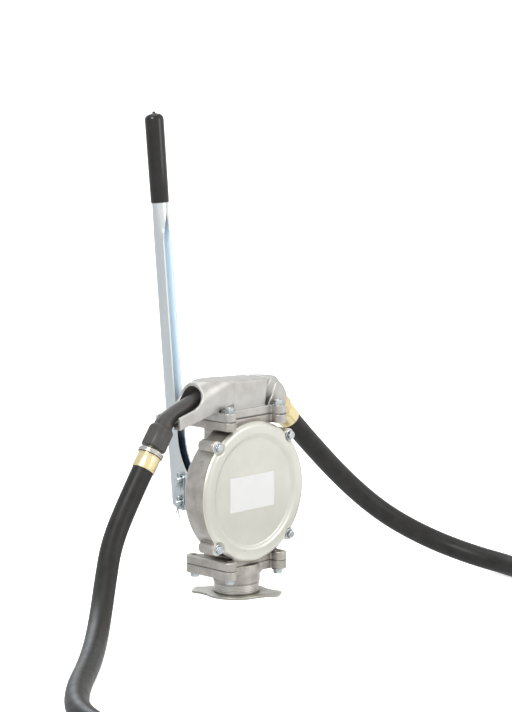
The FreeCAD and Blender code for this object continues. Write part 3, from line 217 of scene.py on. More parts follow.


# In this table the hollow colours are painted shade, and the edge colours are painted highlight with some
# wear.
FINISHES = {
    "cast_aluminium": finish_of(
        "cast_aluminium", (0.60, 0.585, 0.56), (0.52, 0.50, 0.475), 0.85, 0.40, patch=55, grain=850,
        bump=0.35, painted_hollow_shade=(0.32, 0.30, 0.28), edge=(0.86, 0.85, 0.83)),
    "machined": finish_of(
        "machined", (0.80, 0.78, 0.74), (0.72, 0.70, 0.66), 0.9, 0.36, patch=90, bump=0.04,
        painted_hollow_shade=(0.45, 0.43, 0.40)),
    "body_cast": finish_of(
        "body_cast", (0.56, 0.53, 0.49), (0.42, 0.39, 0.355), 0.80, 0.44, patch=60, grain=750,
        bump=0.55, painted_hollow_shade=(0.15, 0.13, 0.115), edge=(0.78, 0.76, 0.72)),
    "collar_metal": finish_of(
        "collar_metal", (0.56, 0.55, 0.50), (0.48, 0.465, 0.42), 0.85, 0.38, patch=45, bump=0.25,
        painted_hollow_shade=(0.25, 0.235, 0.20), edge=(0.82, 0.78, 0.62)),
    "cover_plate": finish_of(
        "cover_plate", (0.74, 0.73, 0.665), (0.67, 0.66, 0.60), 0.75, 0.33, patch=18, grain=500,
        bump=0.05, painted_hollow_shade=(0.40, 0.385, 0.32), edge=(0.86, 0.82, 0.66)),
    "blank_label": finish_of(
        "blank_label", (0.60, 0.60, 0.59), (0.58, 0.58, 0.57), 0.0, 0.40, bump=0.02),
    "zinc_hardware": finish_of(
        "zinc_hardware", (0.76, 0.80, 0.82), (0.66, 0.71, 0.73), 1.0, 0.24, patch=150, grain=1200,
        bump=0.08, painted_hollow_shade=(0.22, 0.26, 0.27)),
    "seat_steel": finish_of("seat_steel", (0.55, 0.55, 0.54), (0.48, 0.48, 0.47), 1.0, 0.35),
    "gasket_rubber": finish_of(
        "gasket_rubber", (0.13, 0.12, 0.11), (0.18, 0.165, 0.15), 0.0, 0.7, bump=0.2),
    "valve_rubber": finish_of("valve_rubber", (0.03, 0.03, 0.03), (0.05, 0.05, 0.05), 0.0, 0.6),
    "bronze": finish_of("bronze", (0.62, 0.42, 0.22), (0.52, 0.34, 0.17), 1.0, 0.35),
    "rod_steel": finish_of("rod_steel", (0.62, 0.62, 0.62), (0.56, 0.56, 0.56), 1.0, 0.22, bump=0.03),
    "lever_steel": finish_of(
        "lever_steel", (0.86, 0.89, 0.89), (0.78, 0.82, 0.82), 1.0, 0.30, patch=40, grain=500,
        bump=0.04, stretch=(1, 1, 0.12), painted_hollow_shade=(0.36, 0.40, 0.42)),
    # Painted reflection and shade: the channel's inside is a matt light blue for the sky it reflects, turning
    # dark navy towards the bottom as painted shade.
    "lever_inside_painted_sky_and_shade": finish_of(
        "lever_inside_painted_sky_and_shade", (0.80, 0.90, 0.96), (0.70, 0.82, 0.90), 0.0, 0.34, patch=40, grain=500,
        bump=0.04, stretch=(1, 1, 0.12), below=(196, 272, (0.03, 0.05, 0.09))),
    "grip_vinyl": finish_of(
        "grip_vinyl", (0.009, 0.008, 0.007), (0.013, 0.011, 0.010), 0.0, 0.20, patch=60, bump=0.03,
        rough_swing=0.03, coat=0.2, specular=0.4),
    "brass_fitting": finish_of(
        "brass_fitting", (0.88, 0.73, 0.40), (0.85, 0.70, 0.37), 0.95, 0.26, patch=25, bump=0.04,
        painted_hollow_shade=(0.34, 0.22, 0.08)),
    "brass_ferrule": finish_of(
        "brass_ferrule", (0.92, 0.79, 0.46), (0.90, 0.77, 0.44), 0.9, 0.25, patch=25, bump=0.03,
        painted_hollow_shade=(0.40, 0.27, 0.10)),
    "hose_rubber": finish_of(
        "hose_rubber", (0.015, 0.014, 0.013), (0.021, 0.020, 0.019), 0.0, 0.38, patch=70, grain=1500,
        bump=0.12, specular=0.28),
    "nozzle_steel": finish_of(
        "nozzle_steel", (0.72, 0.71, 0.66), (0.62, 0.60, 0.55), 1.0, 0.26, patch=120, bump=0.08,
        painted_hollow_shade=(0.25, 0.24, 0.20)),
    "nozzle_plastic": finish_of(
        "nozzle_plastic", (0.046, 0.043, 0.040), (0.058, 0.054, 0.050), 0.0, 0.40, patch=90,
        grain=1100, bump=0.12),
}


# ---------------------------------------------------------------- building pieces
class Shape:
    """Collects rings of points, skinned to each other, into one mesh."""

    def __init__(self):
        self.points = []
        self.faces = []
        self.inner = []

    def skin(self, rings, capped=True, looped=False, inner_from=None):
        """Skins rings of equally many points. Points from inner_from on are the inner side."""
        first, count, rows = len(self.points), len(rings[0]), len(rings)
        for ring in rings:
            self.points.extend(ring)
        for row in range(rows if looped else rows - 1):
            low, high = first + row * count, first + (row + 1) % rows * count
            for k in range(count):
                after = (k + 1) % count
                self.faces.append((low + k, low + after, high + after, high + k))
                self.inner.append(inner_from is not None and inner_from <= k < count - 1)
        if capped and not looped:
            self.faces.append(tuple(range(first + count - 1, first - 1, -1)))
            last = first + (rows - 1) * count
            self.faces.append(tuple(range(last, last + count)))
            self.inner += [False, False]
        return self

    def turn(self, profile, origin, axis, steps=64, looped=False, radius=None):
        """Solid of revolution. The profile is (along the axis, radius) in millimetres."""
        along, side, other = basis(axis)
        rings = []
        for a, r in profile:
            ring = []
            for k in range(steps):
                angle = 2 * math.pi * k / steps
                reach = radius(r, angle) if radius else r
                out = side * math.cos(angle) + other * math.sin(angle)
                ring.append(origin + (along * a + out * reach) * MM)
            rings.append(ring)
        return self.skin(rings, looped=looped)

    def build(self, name, body, finish, nodes=(), inner_finish=None, sharp=32):
        """Makes the mesh object. The inner side takes inner_finish where one is given."""
        mesh = bpy.data.meshes.new(name)
        mesh.from_pydata(self.points, [], self.faces)
        work = bmesh.new()
        work.from_mesh(mesh)
        bmesh.ops.recalc_face_normals(work, faces=work.faces)
        work.to_mesh(mesh)
        work.free()
        piece = bpy.data.objects.new(name, mesh)
        bpy.context.collection.objects.link(piece)
        settle(piece, body, finish, nodes, sharp)
        if inner_finish:
            mesh.materials.append(FINISHES[inner_finish])
            for face, inner in zip(mesh.polygons, self.inner):
                face.material_index = 1 if inner else 0
        return piece


def basis(axis):
    along = axis.normalized()
    side = along.cross(Y_AXIS)
    if side.length < 0.1:
        side = along.cross(X_AXIS)
    side.normalize()
    return along, side, along.cross(side)


def settle(piece, body, finish, nodes=(), sharp=None):
    """Finish, shading, body and the CAD nodes that the piece stands for."""
    piece.data.materials.clear()
    piece.data.materials.append(FINISHES[finish])
    if sharp is not None:
        piece.data.shade_smooth()
        piece.data.set_sharp_from_angle(angle=math.radians(sharp))
    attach(piece, body)
    if nodes:
        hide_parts(*nodes)
    return piece


def bake(piece):
    """Turns the piece's modifiers into its mesh."""
    graph = bpy.context.evaluated_depsgraph_get()
    made = bpy.data.meshes.new_from_object(piece.evaluated_get(graph))
    piece.modifiers.clear()
    piece.data = made


def cast_copy(node, body, finish, voxel, passes, relief):
    """A cast piece: the CAD solid with its edges run together as a mould leaves them.

    voxel and relief, the depth of the cast skin, are in millimetres. passes are smoothing steps.
    """
    piece = bpy.data.objects.new(node + "_cast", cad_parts[node].data.copy())
    bpy.context.collection.objects.link(piece)
    weld = piece.modifiers.new("weld", "WELD")
    weld.merge_threshold = 0.01 * MM
    cells = piece.modifiers.new("cells", "REMESH")
    cells.mode = "VOXEL"
    cells.voxel_size = voxel * MM
    soften = piece.modifiers.new("soften", "SMOOTH")
    soften.factor = 0.5
    soften.iterations = passes
    cloud = bpy.data.textures.new(node + "_skin", "CLOUDS")
    cloud.noise_scale = 5 * MM
    cloud.noise_depth = 2
    skin = piece.modifiers.new("skin", "DISPLACE")
    skin.texture = cloud
    skin.texture_coords = "GLOBAL"
    skin.strength = relief * MM
    skin.mid_level = 0.5
    bake(piece)
    settle(piece, body, finish, (node,), sharp=60)
    return piece


def bevelled_copy(node, body, finish, width):
    """A machined or pressed piece: the CAD solid with its edges broken."""
    piece = bpy.data.objects.new(node + "_edged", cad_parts[node].data.copy())
    bpy.context.collection.objects.link(piece)
    weld = piece.modifiers.new("weld", "WELD")
    weld.merge_threshold = 0.01 * MM
    flat = piece.modifiers.new("flat", "DECIMATE")
    flat.decimate_type = "DISSOLVE"
    flat.angle_limit = math.radians(1)
    edge = piece.modifiers.new("edge", "BEVEL")
    edge.width = width * MM
    edge.segments = 3
    edge.limit_method = "ANGLE"
    edge.angle_limit = math.radians(30)
    bake(piece)
    settle(piece, body, finish, (node,), sharp=40)
    return piece


def hex_reach(across_flats):
    """Radius function of a hexagonal bar: the profile's radius, cut off where it passes a flat."""
    def reach(r, angle):
        off = (angle + math.pi / 6) % (math.pi / 3) - math.pi / 6
        return min(r, across_flats / 2 / math.cos(off))
    return reach


def screw(shape, seat, out, size):
    """Hex washer head that stands off its seat along out, and its shank behind it.

    size is the washer's radius and thickness, the head's width across flats and height, and the
    shank's radius and length.
    """
    washer_r, washer_t, flats, head_h, shank_r, shank_l = size
    corner = flats / 2 / math.cos(math.pi / 6)
    shape.turn([
        (0.0, washer_r - 0.3), (0.3, washer_r), (washer_t - 0.4, washer_r), (washer_t, washer_r - 0.6),
        (washer_t + 0.1, corner + 0.3),
    ], seat, out, steps=48)
    top = washer_t + head_h
    shape.turn([
        (washer_t - 0.2, corner), (top - 1.1, corner), (top - 0.6, corner - 0.35),
        (top - 0.15, flats / 2 - 0.1), (top, flats / 2 - 0.7), (top, flats / 2 - 1.5),
        (top - 0.7, flats / 2 - 2.2), (top - 0.8, 0.3),
    ], seat, out, steps=72, radius=hex_reach(flats))
    shape.turn([(-shank_l, shank_r - 0.6), (0.6 - shank_l, shank_r), (0.2, shank_r)], seat, out, steps=24)


def cotter(name, points, body, node):
    """Bent wire along the points, in millimetres."""
    data = bpy.data.curves.new(name, "CURVE")
    data.dimensions = "3D"
    spline = data.splines.new("NURBS")
    spline.points.add(len(points) - 1)
    for point, place in zip(spline.points, points):
        point.co = (*(Vector(place) * MM), 1.0)
    spline.order_u = 3
    spline.use_endpoint_u = True
    spline.resolution_u = 8
    data.bevel_depth = COTTER_WIRE_R * MM
    data.bevel_resolution = 3
    data.use_fill_caps = True
    drawn = bpy.data.objects.new(name, data)
    bpy.context.collection.objects.link(drawn)
    graph = bpy.context.evaluated_depsgraph_get()
    piece = bpy.data.objects.new(name, bpy.data.meshes.new_from_object(drawn.evaluated_get(graph)))
    bpy.data.objects.remove(drawn)
    bpy.context.collection.objects.link(piece)
    settle(piece, body, "zinc_hardware", (node,), sharp=50)


def ease(value, low, high):
    """0 below low, 1 above high and a smooth step between."""
    t = min(1.0, max(0.0, (value - low) / (high - low)))
    return t * t * (3 - 2 * t)


def between(table, value):
    """Straight-line interpolation in a table of (value, result)."""
    for (a, ra), (b, rb) in zip(table, table[1:]):
        if value <= b:
            return ra + (rb - ra) * max(0.0, (value - a) / (b - a))
    return table[-1][1]


# ---------------------------------------------------------------- castings
BODY_Z = 144.0                  # axis of the round body
INLET_FACE_Z = 32.0             # under the lower flange, where its screw heads sit
MANIFOLD_FACE_Z = 256.0         # on the upper flange, where its screw heads sit
FLANGE_SCREW = (8.0, 1.4, 11.0, 5.4, 4.0, 21.0)
FLANGE_BOLTS = [(x, y) for x in (-45.9, 45.9) for y in (-33.2, 33.2)]


def make_castings():
    cast_copy("body_casting", "pump", "body_cast", 1.1, 3, relief=0.3)
    cast_copy("outlet_manifold", "pump", "cast_aluminium", 0.85, 2, relief=0.15)
    cast_copy("inlet_casting", "pump", "body_cast", 0.9, 2, relief=0.2)
    cast_copy("fulcrum_bracket", "pump", "body_cast", 1.2, 3, relief=0.2)


THREAD_PITCH = 2.2
THREAD_LOW, THREAD_HIGH = 3.7, 16.6
THREAD_ROOT_R = 29.95
THREAD_DEPTH = 0.45


def make_thread():
    """The neck's pipe thread above the wing collar."""
    low, high, steps = THREAD_LOW, THREAD_HIGH, 96
    rings = []
    rows = int((high - low) / (THREAD_PITCH / 8))
    for row in range(rows + 1):
        z = low + (high - low) * row / rows
        fade = ease(z, low, low + 1.0) * (1 - ease(z, high - 1.6, high))
        ring = []
        for k in range(steps):
            angle = 2 * math.pi * k / steps
            wave = 0.5 + 0.5 * math.cos(2 * math.pi * (z / THREAD_PITCH - k / steps))
            radius = THREAD_ROOT_R + THREAD_DEPTH * wave * fade
            ring.append(Vector((radius * math.cos(angle), radius * math.sin(angle), z)) * MM)
        rings.append(ring)
    liner = [[point * 0.97 for point in ring] for ring in (rings[-1], rings[0])]
    for ring, z in zip(liner, (high, low)):
        for point in ring:
            point.z = z * MM
    shape = Shape().skin(rings + liner, looped=True)
    thread = shape.build("neck_thread", "pump", "cast_aluminium", sharp=70)
    thread.data.materials[0] = FINISHES["machined"]


def make_flange_screws():
    under, over = Shape(), Shape()
    for x, y in FLANGE_BOLTS:
        screw(under, Vector((x, y, INLET_FACE_Z)) * MM, -Z_AXIS, FLANGE_SCREW)
        screw(over, Vector((x, y, MANIFOLD_FACE_Z)) * MM, Z_AXIS, FLANGE_SCREW)
    under.build("inlet_screw_set", "pump", "zinc_hardware", ("inlet_screws",))
    over.build("manifold_screw_set", "pump", "zinc_hardware", ("manifold_screws",))


# ---------------------------------------------------------------- cover
COVER_EDGE = 94.6
TAB_R = 8.6                     # lobe round each screw
TAB_REACH = 96.6                # the screws' distance from the middle
TAB_Y = -33.0                   # face that the screws sit on
TAB_ANGLES = [math.radians(a) for a in (45, 135, 225, 315)]
COVER_SCREW = (7.0, 1.2, 9.6, 4.6, 3.0, 23.0)
COVER_BACK = -31.0
# Radius and Y of the sheet's face, from the flat panel over the raised rim to the rolled edge.
COVER_PROFILE = [
    (0.0, -33.0), (71.2, -33.0), (72.4, -33.1), (73.4, -33.6), (74.6, -34.6), (75.8, -35.5), (77.0, -36.1),
    (78.8, -36.45), (83.2, -36.6), (87.6, -36.55), (89.8, -36.2), (91.6, -35.4), (93.0, -34.2), (94.1, -32.8),
    (94.6, -31.6),
]
COVER_RINGS = [
    4, 20, 40, 58, 66, 70.6, 71.2, 71.8, 72.4, 73.0, 73.7, 74.4, 75.1, 75.8, 76.7, 77.6, 78.8, 80, 81.6, 83.2,
    84.7, 86.2, 87.6, 89.0, 90.1, 91.2, 92.1, 92.9, 93.5, 94.0, 94.35, 94.6,
]
COVER_STEPS = 720


def cover_edge(angle):
    """Distance from the middle to the sheet's edge, with a lobe at each screw."""
    edge = COVER_EDGE
    for tab in TAB_ANGLES:
        off = abs((angle - tab + math.pi) % (2 * math.pi) - math.pi)
        side = TAB_REACH * math.sin(off)
        if off < 0.5 and side < TAB_R + 5.0:
            lobe = TAB_REACH * math.cos(off) + math.sqrt(max(0.0, TAB_R ** 2 - side ** 2))
            fillet = 1 - ease(side, TAB_R - 2.6, TAB_R + 3.4)
            edge = max(edge, COVER_EDGE + (lobe - COVER_EDGE) * fillet)
    return edge


def cover_height(r, angle):
    """Y of the sheet's face: the profile, pressed flat round each screw."""
    y = between(COVER_PROFILE, r)
    nearest = min(math.hypot(r * math.cos(angle) - TAB_REACH * math.cos(tab),
                             r * math.sin(angle) - TAB_REACH * math.sin(tab)) for tab in TAB_ANGLES)
    flat = 1 - ease(nearest, 7.4, 11.4)
    return y + (TAB_Y - y) * flat


def make_cover():
    """The stamped cover, with a lobe round each screw."""
    rings = []
    for r in COVER_RINGS:
        rings.append([cover_point(r, k) for k in range(COVER_STEPS)])
    reach = [cover_edge(2 * math.pi * k / COVER_STEPS) for k in range(COVER_STEPS)]
    for share, drop in ((0.35, 0.0), (0.7, 0.0), (0.93, 0.08), (1.0, 0.55), (1.0, 1.3)):
        ring = []
        for k in range(COVER_STEPS):
            angle = 2 * math.pi * k / COVER_STEPS
            r = COVER_EDGE + (reach[k] - COVER_EDGE) * share
            y = min(cover_height(r, angle) + drop, COVER_BACK - 0.25)
            ring.append(face_point(r, angle, y))
        rings.append(ring)
    for inset in (0.0, 0.3, 5.5):
        back = COVER_BACK - (0.2 if inset == 0.0 else 0.0)
        rings.append([face_point(reach[k] - inset, 2 * math.pi * k / COVER_STEPS, back)
                      for k in range(COVER_STEPS)])
    Shape().skin(rings).build("cover_pressing", "pump", "cover_plate", ("front_cover",), sharp=45)


def face_point(r, angle, y):
    return Vector((r * math.cos(angle), y, BODY_Z + r * math.sin(angle))) * MM


def cover_point(r, k):
    angle = 2 * math.pi * k / COVER_STEPS
    return face_point(r, angle, cover_height(r, angle))


def make_cover_screws():
    shape = Shape()
    for angle in TAB_ANGLES:
        seat = face_point(TAB_REACH, angle, TAB_Y)
        screw(shape, seat, -Y_AXIS, COVER_SCREW)
    shape.build("cover_screw_set", "pump", "zinc_hardware", ("cover_screws",))


# ---------------------------------------------------------------- lever
PIVOT_Y, PIVOT_Z = 98.0, 112.0
ROD_PIN_Y = 97.0
LEVER_WALL = 2.4
LEVER_HALF = 8.6                # half the channel's width
LEVER_DEPTH = 19.6
LEVER_FOOT = 101.5
LEVER_END = 524.0
LEVER_OUT_BEND, LEVER_IN_BEND = 3.4, 1.2
TUBE_R = 11.1                   # the channel closes into a tube under the grip
TUBE_SLIT = 0.02
CLOSE_LOW, CLOSE_HIGH = 466.0, 508.0
FLARE_TOP = 201.0
# Height and Y of the channel's front edge, which reaches forward to the pivot.
FLARE = [(100.0, 90.5), (101.5, 90.5), (107.5, 85.6), (151.0, 85.5), (153.0, 86.8), (160.0, 91.7),
         (169.0, 96.5), (180.0, 101.2), (190.0, 104.1), (FLARE_TOP, 105.7)]


def lever_line(z):
    """Y of the channel's middle line at the height z."""
    return 107.3 + 0.0925 * (z - PIVOT_Z)


def channel_walk(half, front, back, bend):
    """Points round a channel from one front edge, past the back, to the other front edge."""
    side_steps, bend_steps, back_steps = 8, 5, 5
    points = []
    for k in range(side_steps):
        points.append((-half, front + (back - bend - front) * k / side_steps))
    for k in range(bend_steps):
        angle = math.pi - math.pi / 2 * k / bend_steps
        points.append((-half + bend + bend * math.cos(angle), back - bend + bend * math.sin(angle)))
    for k in range(back_steps):
        points.append((-half + bend + 2 * (half - bend) * k / back_steps, back))
    for k in range(bend_steps):
        angle = math.pi / 2 - math.pi / 2 * k / bend_steps
        points.append((half - bend + bend * math.cos(angle), back - bend + bend * math.sin(angle)))
    for k in range(side_steps + 1):
        points.append((half, back - bend + (front - back + bend) * k / side_steps))
    return points


def tube_walk(points, radius, middle):
    """The same points laid round a tube whose slit faces the front."""
    lengths = [0.0]
    for a, b in zip(points, points[1:]):
        lengths.append(lengths[-1] + math.dist(a, b))
    laid = []
    for length in lengths:
        angle = -math.pi / 2 - TUBE_SLIT - (2 * math.pi - 2 * TUBE_SLIT) * length / lengths[-1]
        laid.append((radius * math.cos(angle), middle + radius * math.sin(angle)))
    return laid


def lever_section(z):
    """Ring of points round the lever at the height z, and how many of them are on its outside."""
    round_foot = 1 - ease(z, LEVER_FOOT, 109.0)
    back = lever_line(max(z, 108.5)) + LEVER_DEPTH / 2 - 8.5 * round_foot
    front = between(FLARE, z) if z < FLARE_TOP else lever_line(z) - LEVER_DEPTH / 2
    outer = channel_walk(LEVER_HALF, front, back, LEVER_OUT_BEND)
    inner = channel_walk(LEVER_HALF - LEVER_WALL, front, back - LEVER_WALL, LEVER_IN_BEND)
    close = ease(z, CLOSE_LOW, CLOSE_HIGH)
    if close > 0:
        middle = lever_line(z)
        outer_tube = tube_walk(outer, TUBE_R, middle)
        inner_tube = tube_walk(inner, TUBE_R - LEVER_WALL, middle)
        outer = [blend_pair(a, b, close) for a, b in zip(outer, outer_tube)]
        inner = [blend_pair(a, b, close) for a, b in zip(inner, inner_tube)]
    points = outer + inner[::-1]
    return [Vector((x, y, z)) * MM for x, y in points], len(outer)


def blend_pair(a, b, share):
    return a[0] + (b[0] - a[0]) * share, a[1] + (b[1] - a[1]) * share


def make_lever():
    heights = [LEVER_FOOT, 103, 104.5, 106, 107.5, 109, 112, 120, 130, 140, 148, 151, 152, 153.5, 156, 160,
               164.5, 169, 174.5, 180, 185, 190, 195.5, FLARE_TOP, 204, 215, 230]
    heights += list(range(250, 460, 15)) + list(range(460, int(LEVER_END) + 1, 4))
    sections = [lever_section(z) for z in heights]
    shape = Shape().skin([ring for ring, _ in sections], inner_from=sections[0][1])
    shape.build("lever_channel", "lever", "lever_steel", ("lever_arm",),
                inner_finish="lever_inside_painted_sky_and_shade", sharp=50)


GRIP_LOW_Z, GRIP_TOP_Z = 519.5, 640.0


def make_grip():
    low = Vector((0, lever_line(GRIP_LOW_Z), GRIP_LOW_Z)) * MM
    top = Vector((0, lever_line(GRIP_TOP_Z), GRIP_TOP_Z)) * MM
    length = (top - low).length / MM
    Shape().turn([
        (3.0, 9.2), (0.6, 9.8), (0.0, 10.8), (0.1, 11.8), (0.6, 12.3), (2.0, 12.5), (length * 0.4, 12.8),
        (length - 9.0, 13.05), (length - 6.0, 12.8), (length - 3.4, 11.9), (length - 1.4, 10.0),
        (length - 0.2, 7.0), (length + 0.5, 3.6), (length + 1.2, 2.4), (length + 2.6, 1.8),
        (length + 3.3, 0.9), (length + 3.4, 0.1),
    ], low, top - low, steps=96).build("grip_sleeve", "lever", "grip_vinyl", ("lever_grip",), sharp=60)


COTTER_WIRE_R = 0.85
FULCRUM_COTTER_X, ROD_COTTER_X = -14.55, -14.22
FULCRUM_COTTER = [
    (94.6, 92.6), (96.6, 98.5), (98.5, 105.0), (98.6, 114.5), (100.9, 117.6), (99.6, 121.0),
    (96.6, 121.0), (95.4, 117.6), (97.5, 114.5), (97.6, 107.0), (100.0, 101.5), (102.0, 95.5),
]
ROD_COTTER = [
    (104.4, 131.6), (100.0, 134.5), (97.6, 139.0), (97.6, 147.0), (99.8, 149.9), (98.6, 153.2),
    (95.6, 153.2), (94.4, 149.9), (96.5, 147.0), (96.6, 139.5), (94.6, 134.0), (93.0, 129.6),
]


def clevis_pin(name, y, z, outer, body):
    """Headed pin along X. outer is the distance from its middle to the underside of the head."""
    origin = Vector((0, y, z)) * MM
    Shape().turn([
        (-outer - 8.0, 2.9), (-outer - 7.0, 3.95), (outer, 3.95), (outer, 6.1), (outer + 0.3, 6.4),
        (outer + 1.7, 6.4), (outer + 2.3, 5.6), (outer + 2.5, 4.4), (outer + 2.5, 0.1),
    ], origin, X_AXIS, steps=48).build(name + "_turned", body, "zinc_hardware", (name,))


def make_pins():
    clevis_pin("fulcrum_pin", PIVOT_Y, PIVOT_Z, 10.55, "pump")
    clevis_pin("rod_pin", ROD_PIN_Y, BODY_Z, 10.22, "lever")
    cotter("fulcrum_cotter_bent", [(FULCRUM_COTTER_X, y, z) for y, z in FULCRUM_COTTER], "pump",
           "fulcrum_cotter")
    cotter("rod_cotter_bent", [(ROD_COTTER_X, y, z) for y, z in ROD_COTTER], "lever", "rod_cotter")
    bevelled_copy("pivot_straps", "lever", "zinc_hardware", 0.35)


BRACKET_SCREW = (5.7, 0.3, 10.0, 4.2, 3.0, 12.5)
BRACKET_FACE_Y = 39.0


def make_bracket_screws():
    shape = Shape()
    for x in (-24.0, 24.0):
        for z in (98.0, 110.0):
            screw(shape, Vector((x, BRACKET_FACE_Y, z)) * MM, Y_AXIS, BRACKET_SCREW)
    shape.build("bracket_screw_set", "pump", "zinc_hardware", ("bracket_screws",))


# ---------------------------------------------------------------- hose ends and nozzle
OUTLET_DOWN = math.radians(43.8)        # the outlet points to the right and down
NOZZLE_DOWN = math.radians(55.3)        # the hose leaves the nozzle to the left and down
OUTLET_FACE = Vector((76.99, 0.0, 251.86)) * MM
OUTLET_DIR = Vector((math.cos(OUTLET_DOWN), 0, -math.sin(OUTLET_DOWN)))
FITTING_L = 15.0
FITTING_FLATS = 30.0
NOZZLE_TOP = Vector((-136.18, 0.0, 244.54)) * MM
NOZZLE_DIR = Vector((-math.cos(NOZZLE_DOWN), 0, -math.sin(NOZZLE_DOWN)))
NOZZLE_COLLAR_L = 32.3
NOZZLE_COLLAR_W = 29.6
UNION_L = 9.3
UNION_FLATS = 32.4
HOLSTER_SLOPE = math.radians(19.4)      # the spout lies in the holster, rising to the right
SPOUT_BEND = Vector((-132.0, 0.0, 254.5))


def ferrule(name, node, start, direction):
    """Pressed brass sleeve with a rolled lip at its fitting end and an eased open end."""
    Shape().turn([
        (0.0, 9.4), (0.0, 14.4), (0.3, 15.2), (1.0, 15.6), (1.9, 15.5), (2.5, 14.95), (3.2, 14.85),
        (4.2, 15.15), (6.0, 15.35), (13.0, 15.5), (19.5, 15.55), (21.2, 15.5), (21.9, 15.1),
        (22.0, 14.6), (21.6, 14.35),
        (6.0, 14.3), (6.0, 9.4),
    ], start, direction, steps=96, looped=True).build(name, "pump", "brass_ferrule", (node,), sharp=50)


def make_outlet_end():
    Shape().turn([
        (-12.0, 9.2), (-12.0, 12.9), (0.0, 12.9), (0.0, 15.0), (0.8, 16.4), (2.0, 17.4), (13.2, 17.4),
        (14.4, 16.4), (14.9, 15.2), (14.9, 9.2),
    ], OUTLET_FACE, OUTLET_DIR, steps=96, looped=True, radius=hex_reach(FITTING_FLATS)).build(
        "outlet_fitting_turned", "pump", "brass_fitting", ("outlet_fitting",))
    ferrule("outlet_ferrule_crimped", "outlet_ferrule", OUTLET_FACE + OUTLET_DIR * FITTING_L * MM,
            OUTLET_DIR)


def squared(width, corner):
    """Radius function of a rounded square bar."""
    def reach(r, angle):
        side, across = abs(math.cos(angle)), abs(math.sin(angle))
        power = 5.0
        bar = width / 2 / (side ** power + across ** power) ** (1 / power)
        return min(r, bar, corner)
    return reach


def spout_path():
    """Middle line and radius of the spout, from inside the collar to its tip, in millimetres."""
    along = Vector((math.cos(HOLSTER_SLOPE), 0, math.sin(HOLSTER_SLOPE)))
    top = NOZZLE_TOP / MM
    low, high = top + NOZZLE_DIR * 6.0, SPOUT_BEND + along * 20.0
    stations = [(top + NOZZLE_DIR * 14.0, 13.0)]
    for k in range(11):
        t = k / 10
        point = low * (1 - t) ** 2 + SPOUT_BEND * 2 * t * (1 - t) + high * t ** 2
        stations.append((point, 13.2 - 2.9 * ease(t, 0.0, 0.9)))
    for reach, radius in ((26.0, 10.1), (34.0, 9.9), (46.0, 9.5), (60.0, 9.1), (74.6, 9.0), (75.8, 8.4)):
        stations.append((SPOUT_BEND + along * reach, radius))
    return stations


def round_section(point, along, radius, steps=64):
    up = Y_AXIS.cross(along)
    angles = [2 * math.pi * n / steps for n in range(steps)]
    return [(point + (Y_AXIS * math.cos(a) + up * math.sin(a)) * radius) * MM for a in angles]


def make_nozzle():
    """The moulded nozzle and its spout, the steel union under it and the hose's ferrule."""
    shape = Shape()
    shape.turn([
        (-1.5, 9.0), (-0.6, 11.8), (1.4, 14.2), (3.2, 15.6), (5.0, 16.6), (29.4, 16.9), (31.4, 16.2),
        (NOZZLE_COLLAR_L, 15.0), (NOZZLE_COLLAR_L, 7.0), (30.0, 6.5),
    ], NOZZLE_TOP, NOZZLE_DIR, steps=96, radius=squared(NOZZLE_COLLAR_W, 17.4))
    stations = spout_path()
    rings = []
    for k, (point, radius) in enumerate(stations):
        ahead = stations[min(k + 1, len(stations) - 1)][0]
        behind = stations[max(k - 1, 0)][0]
        rings.append(round_section(point, (ahead - behind).normalized(), radius))
    tip, along = stations[-1][0], (stations[-1][0] - stations[-2][0]).normalized()
    for depth, radius in ((0.2, 6.6), (-30.0, 6.4)):
        rings.append(round_section(tip + along * depth, along, radius))
    shape.skin(rings)
    shape.build("nozzle_moulding", "pump", "nozzle_plastic", ("nozzle_spout",), sharp=42)
    start = NOZZLE_TOP + NOZZLE_DIR * NOZZLE_COLLAR_L * MM
    ring = Shape()
    ring.turn([
        (0.0, 8.2), (0.0, 13.6), (0.5, 14.0), (1.1, 13.3), (1.7, 14.1), (2.3, 13.4), (2.9, 14.2), (3.4, 13.6),
        (3.4, 8.2),
    ], start, NOZZLE_DIR, steps=96, looped=True)
    ring.turn([(3.4, 8.2), (3.4, 16.4), (3.9, 17.0), (6.6, 17.2), (7.2, 16.6), (7.2, 8.2)],
              start, NOZZLE_DIR, steps=96, looped=True, radius=hex_reach(UNION_FLATS))
    ring.turn([(7.2, 8.2), (7.2, 16.8), (7.5, 17.3), (8.8, 17.3), (UNION_L, 16.8), (UNION_L, 8.2)],
              start, NOZZLE_DIR, steps=96, looped=True)
    ring.build("nozzle_union", "pump", "nozzle_steel", ("nozzle_ring",))
    ferrule("nozzle_ferrule_crimped", "nozzle_ferrule", start + NOZZLE_DIR * UNION_L * MM, NOZZLE_DIR)


# ---------------------------------------------------------------- finishes of the CAD nodes
CAD_FINISHES = {
    "gasket_rubber": ["inlet_gasket", "cover_gasket", "manifold_gasket"],
    "blank_label": ["cover_label"],
    "seat_steel": ["inlet_valve_seat", "outlet_valve_seat", "seal_retainer", "piston_plate_front",
                   "piston_plate_rear"],
    "valve_rubber": ["inlet_valve_front", "inlet_valve_rear", "outlet_valve_front", "outlet_valve_rear",
                     "rod_seal", "piston_cup"],
    "bronze": ["rod_bushing"],
    "rod_steel": ["plunger_rod"],
    "body_cast": ["body_casting", "inlet_casting", "fulcrum_bracket"],
    "cast_aluminium": ["outlet_manifold"],
    "collar_metal": ["wing_collar"],
    "cover_plate": ["front_cover"],
    "lever_steel": ["lever_arm"],
    "grip_vinyl": ["lever_grip"],
    "brass_fitting": ["outlet_fitting"],
    "brass_ferrule": ["outlet_ferrule", "nozzle_ferrule"],
    "hose_rubber": ["hose"],
    "nozzle_steel": ["nozzle_ring"],
    "nozzle_plastic": ["nozzle_spout"],
}


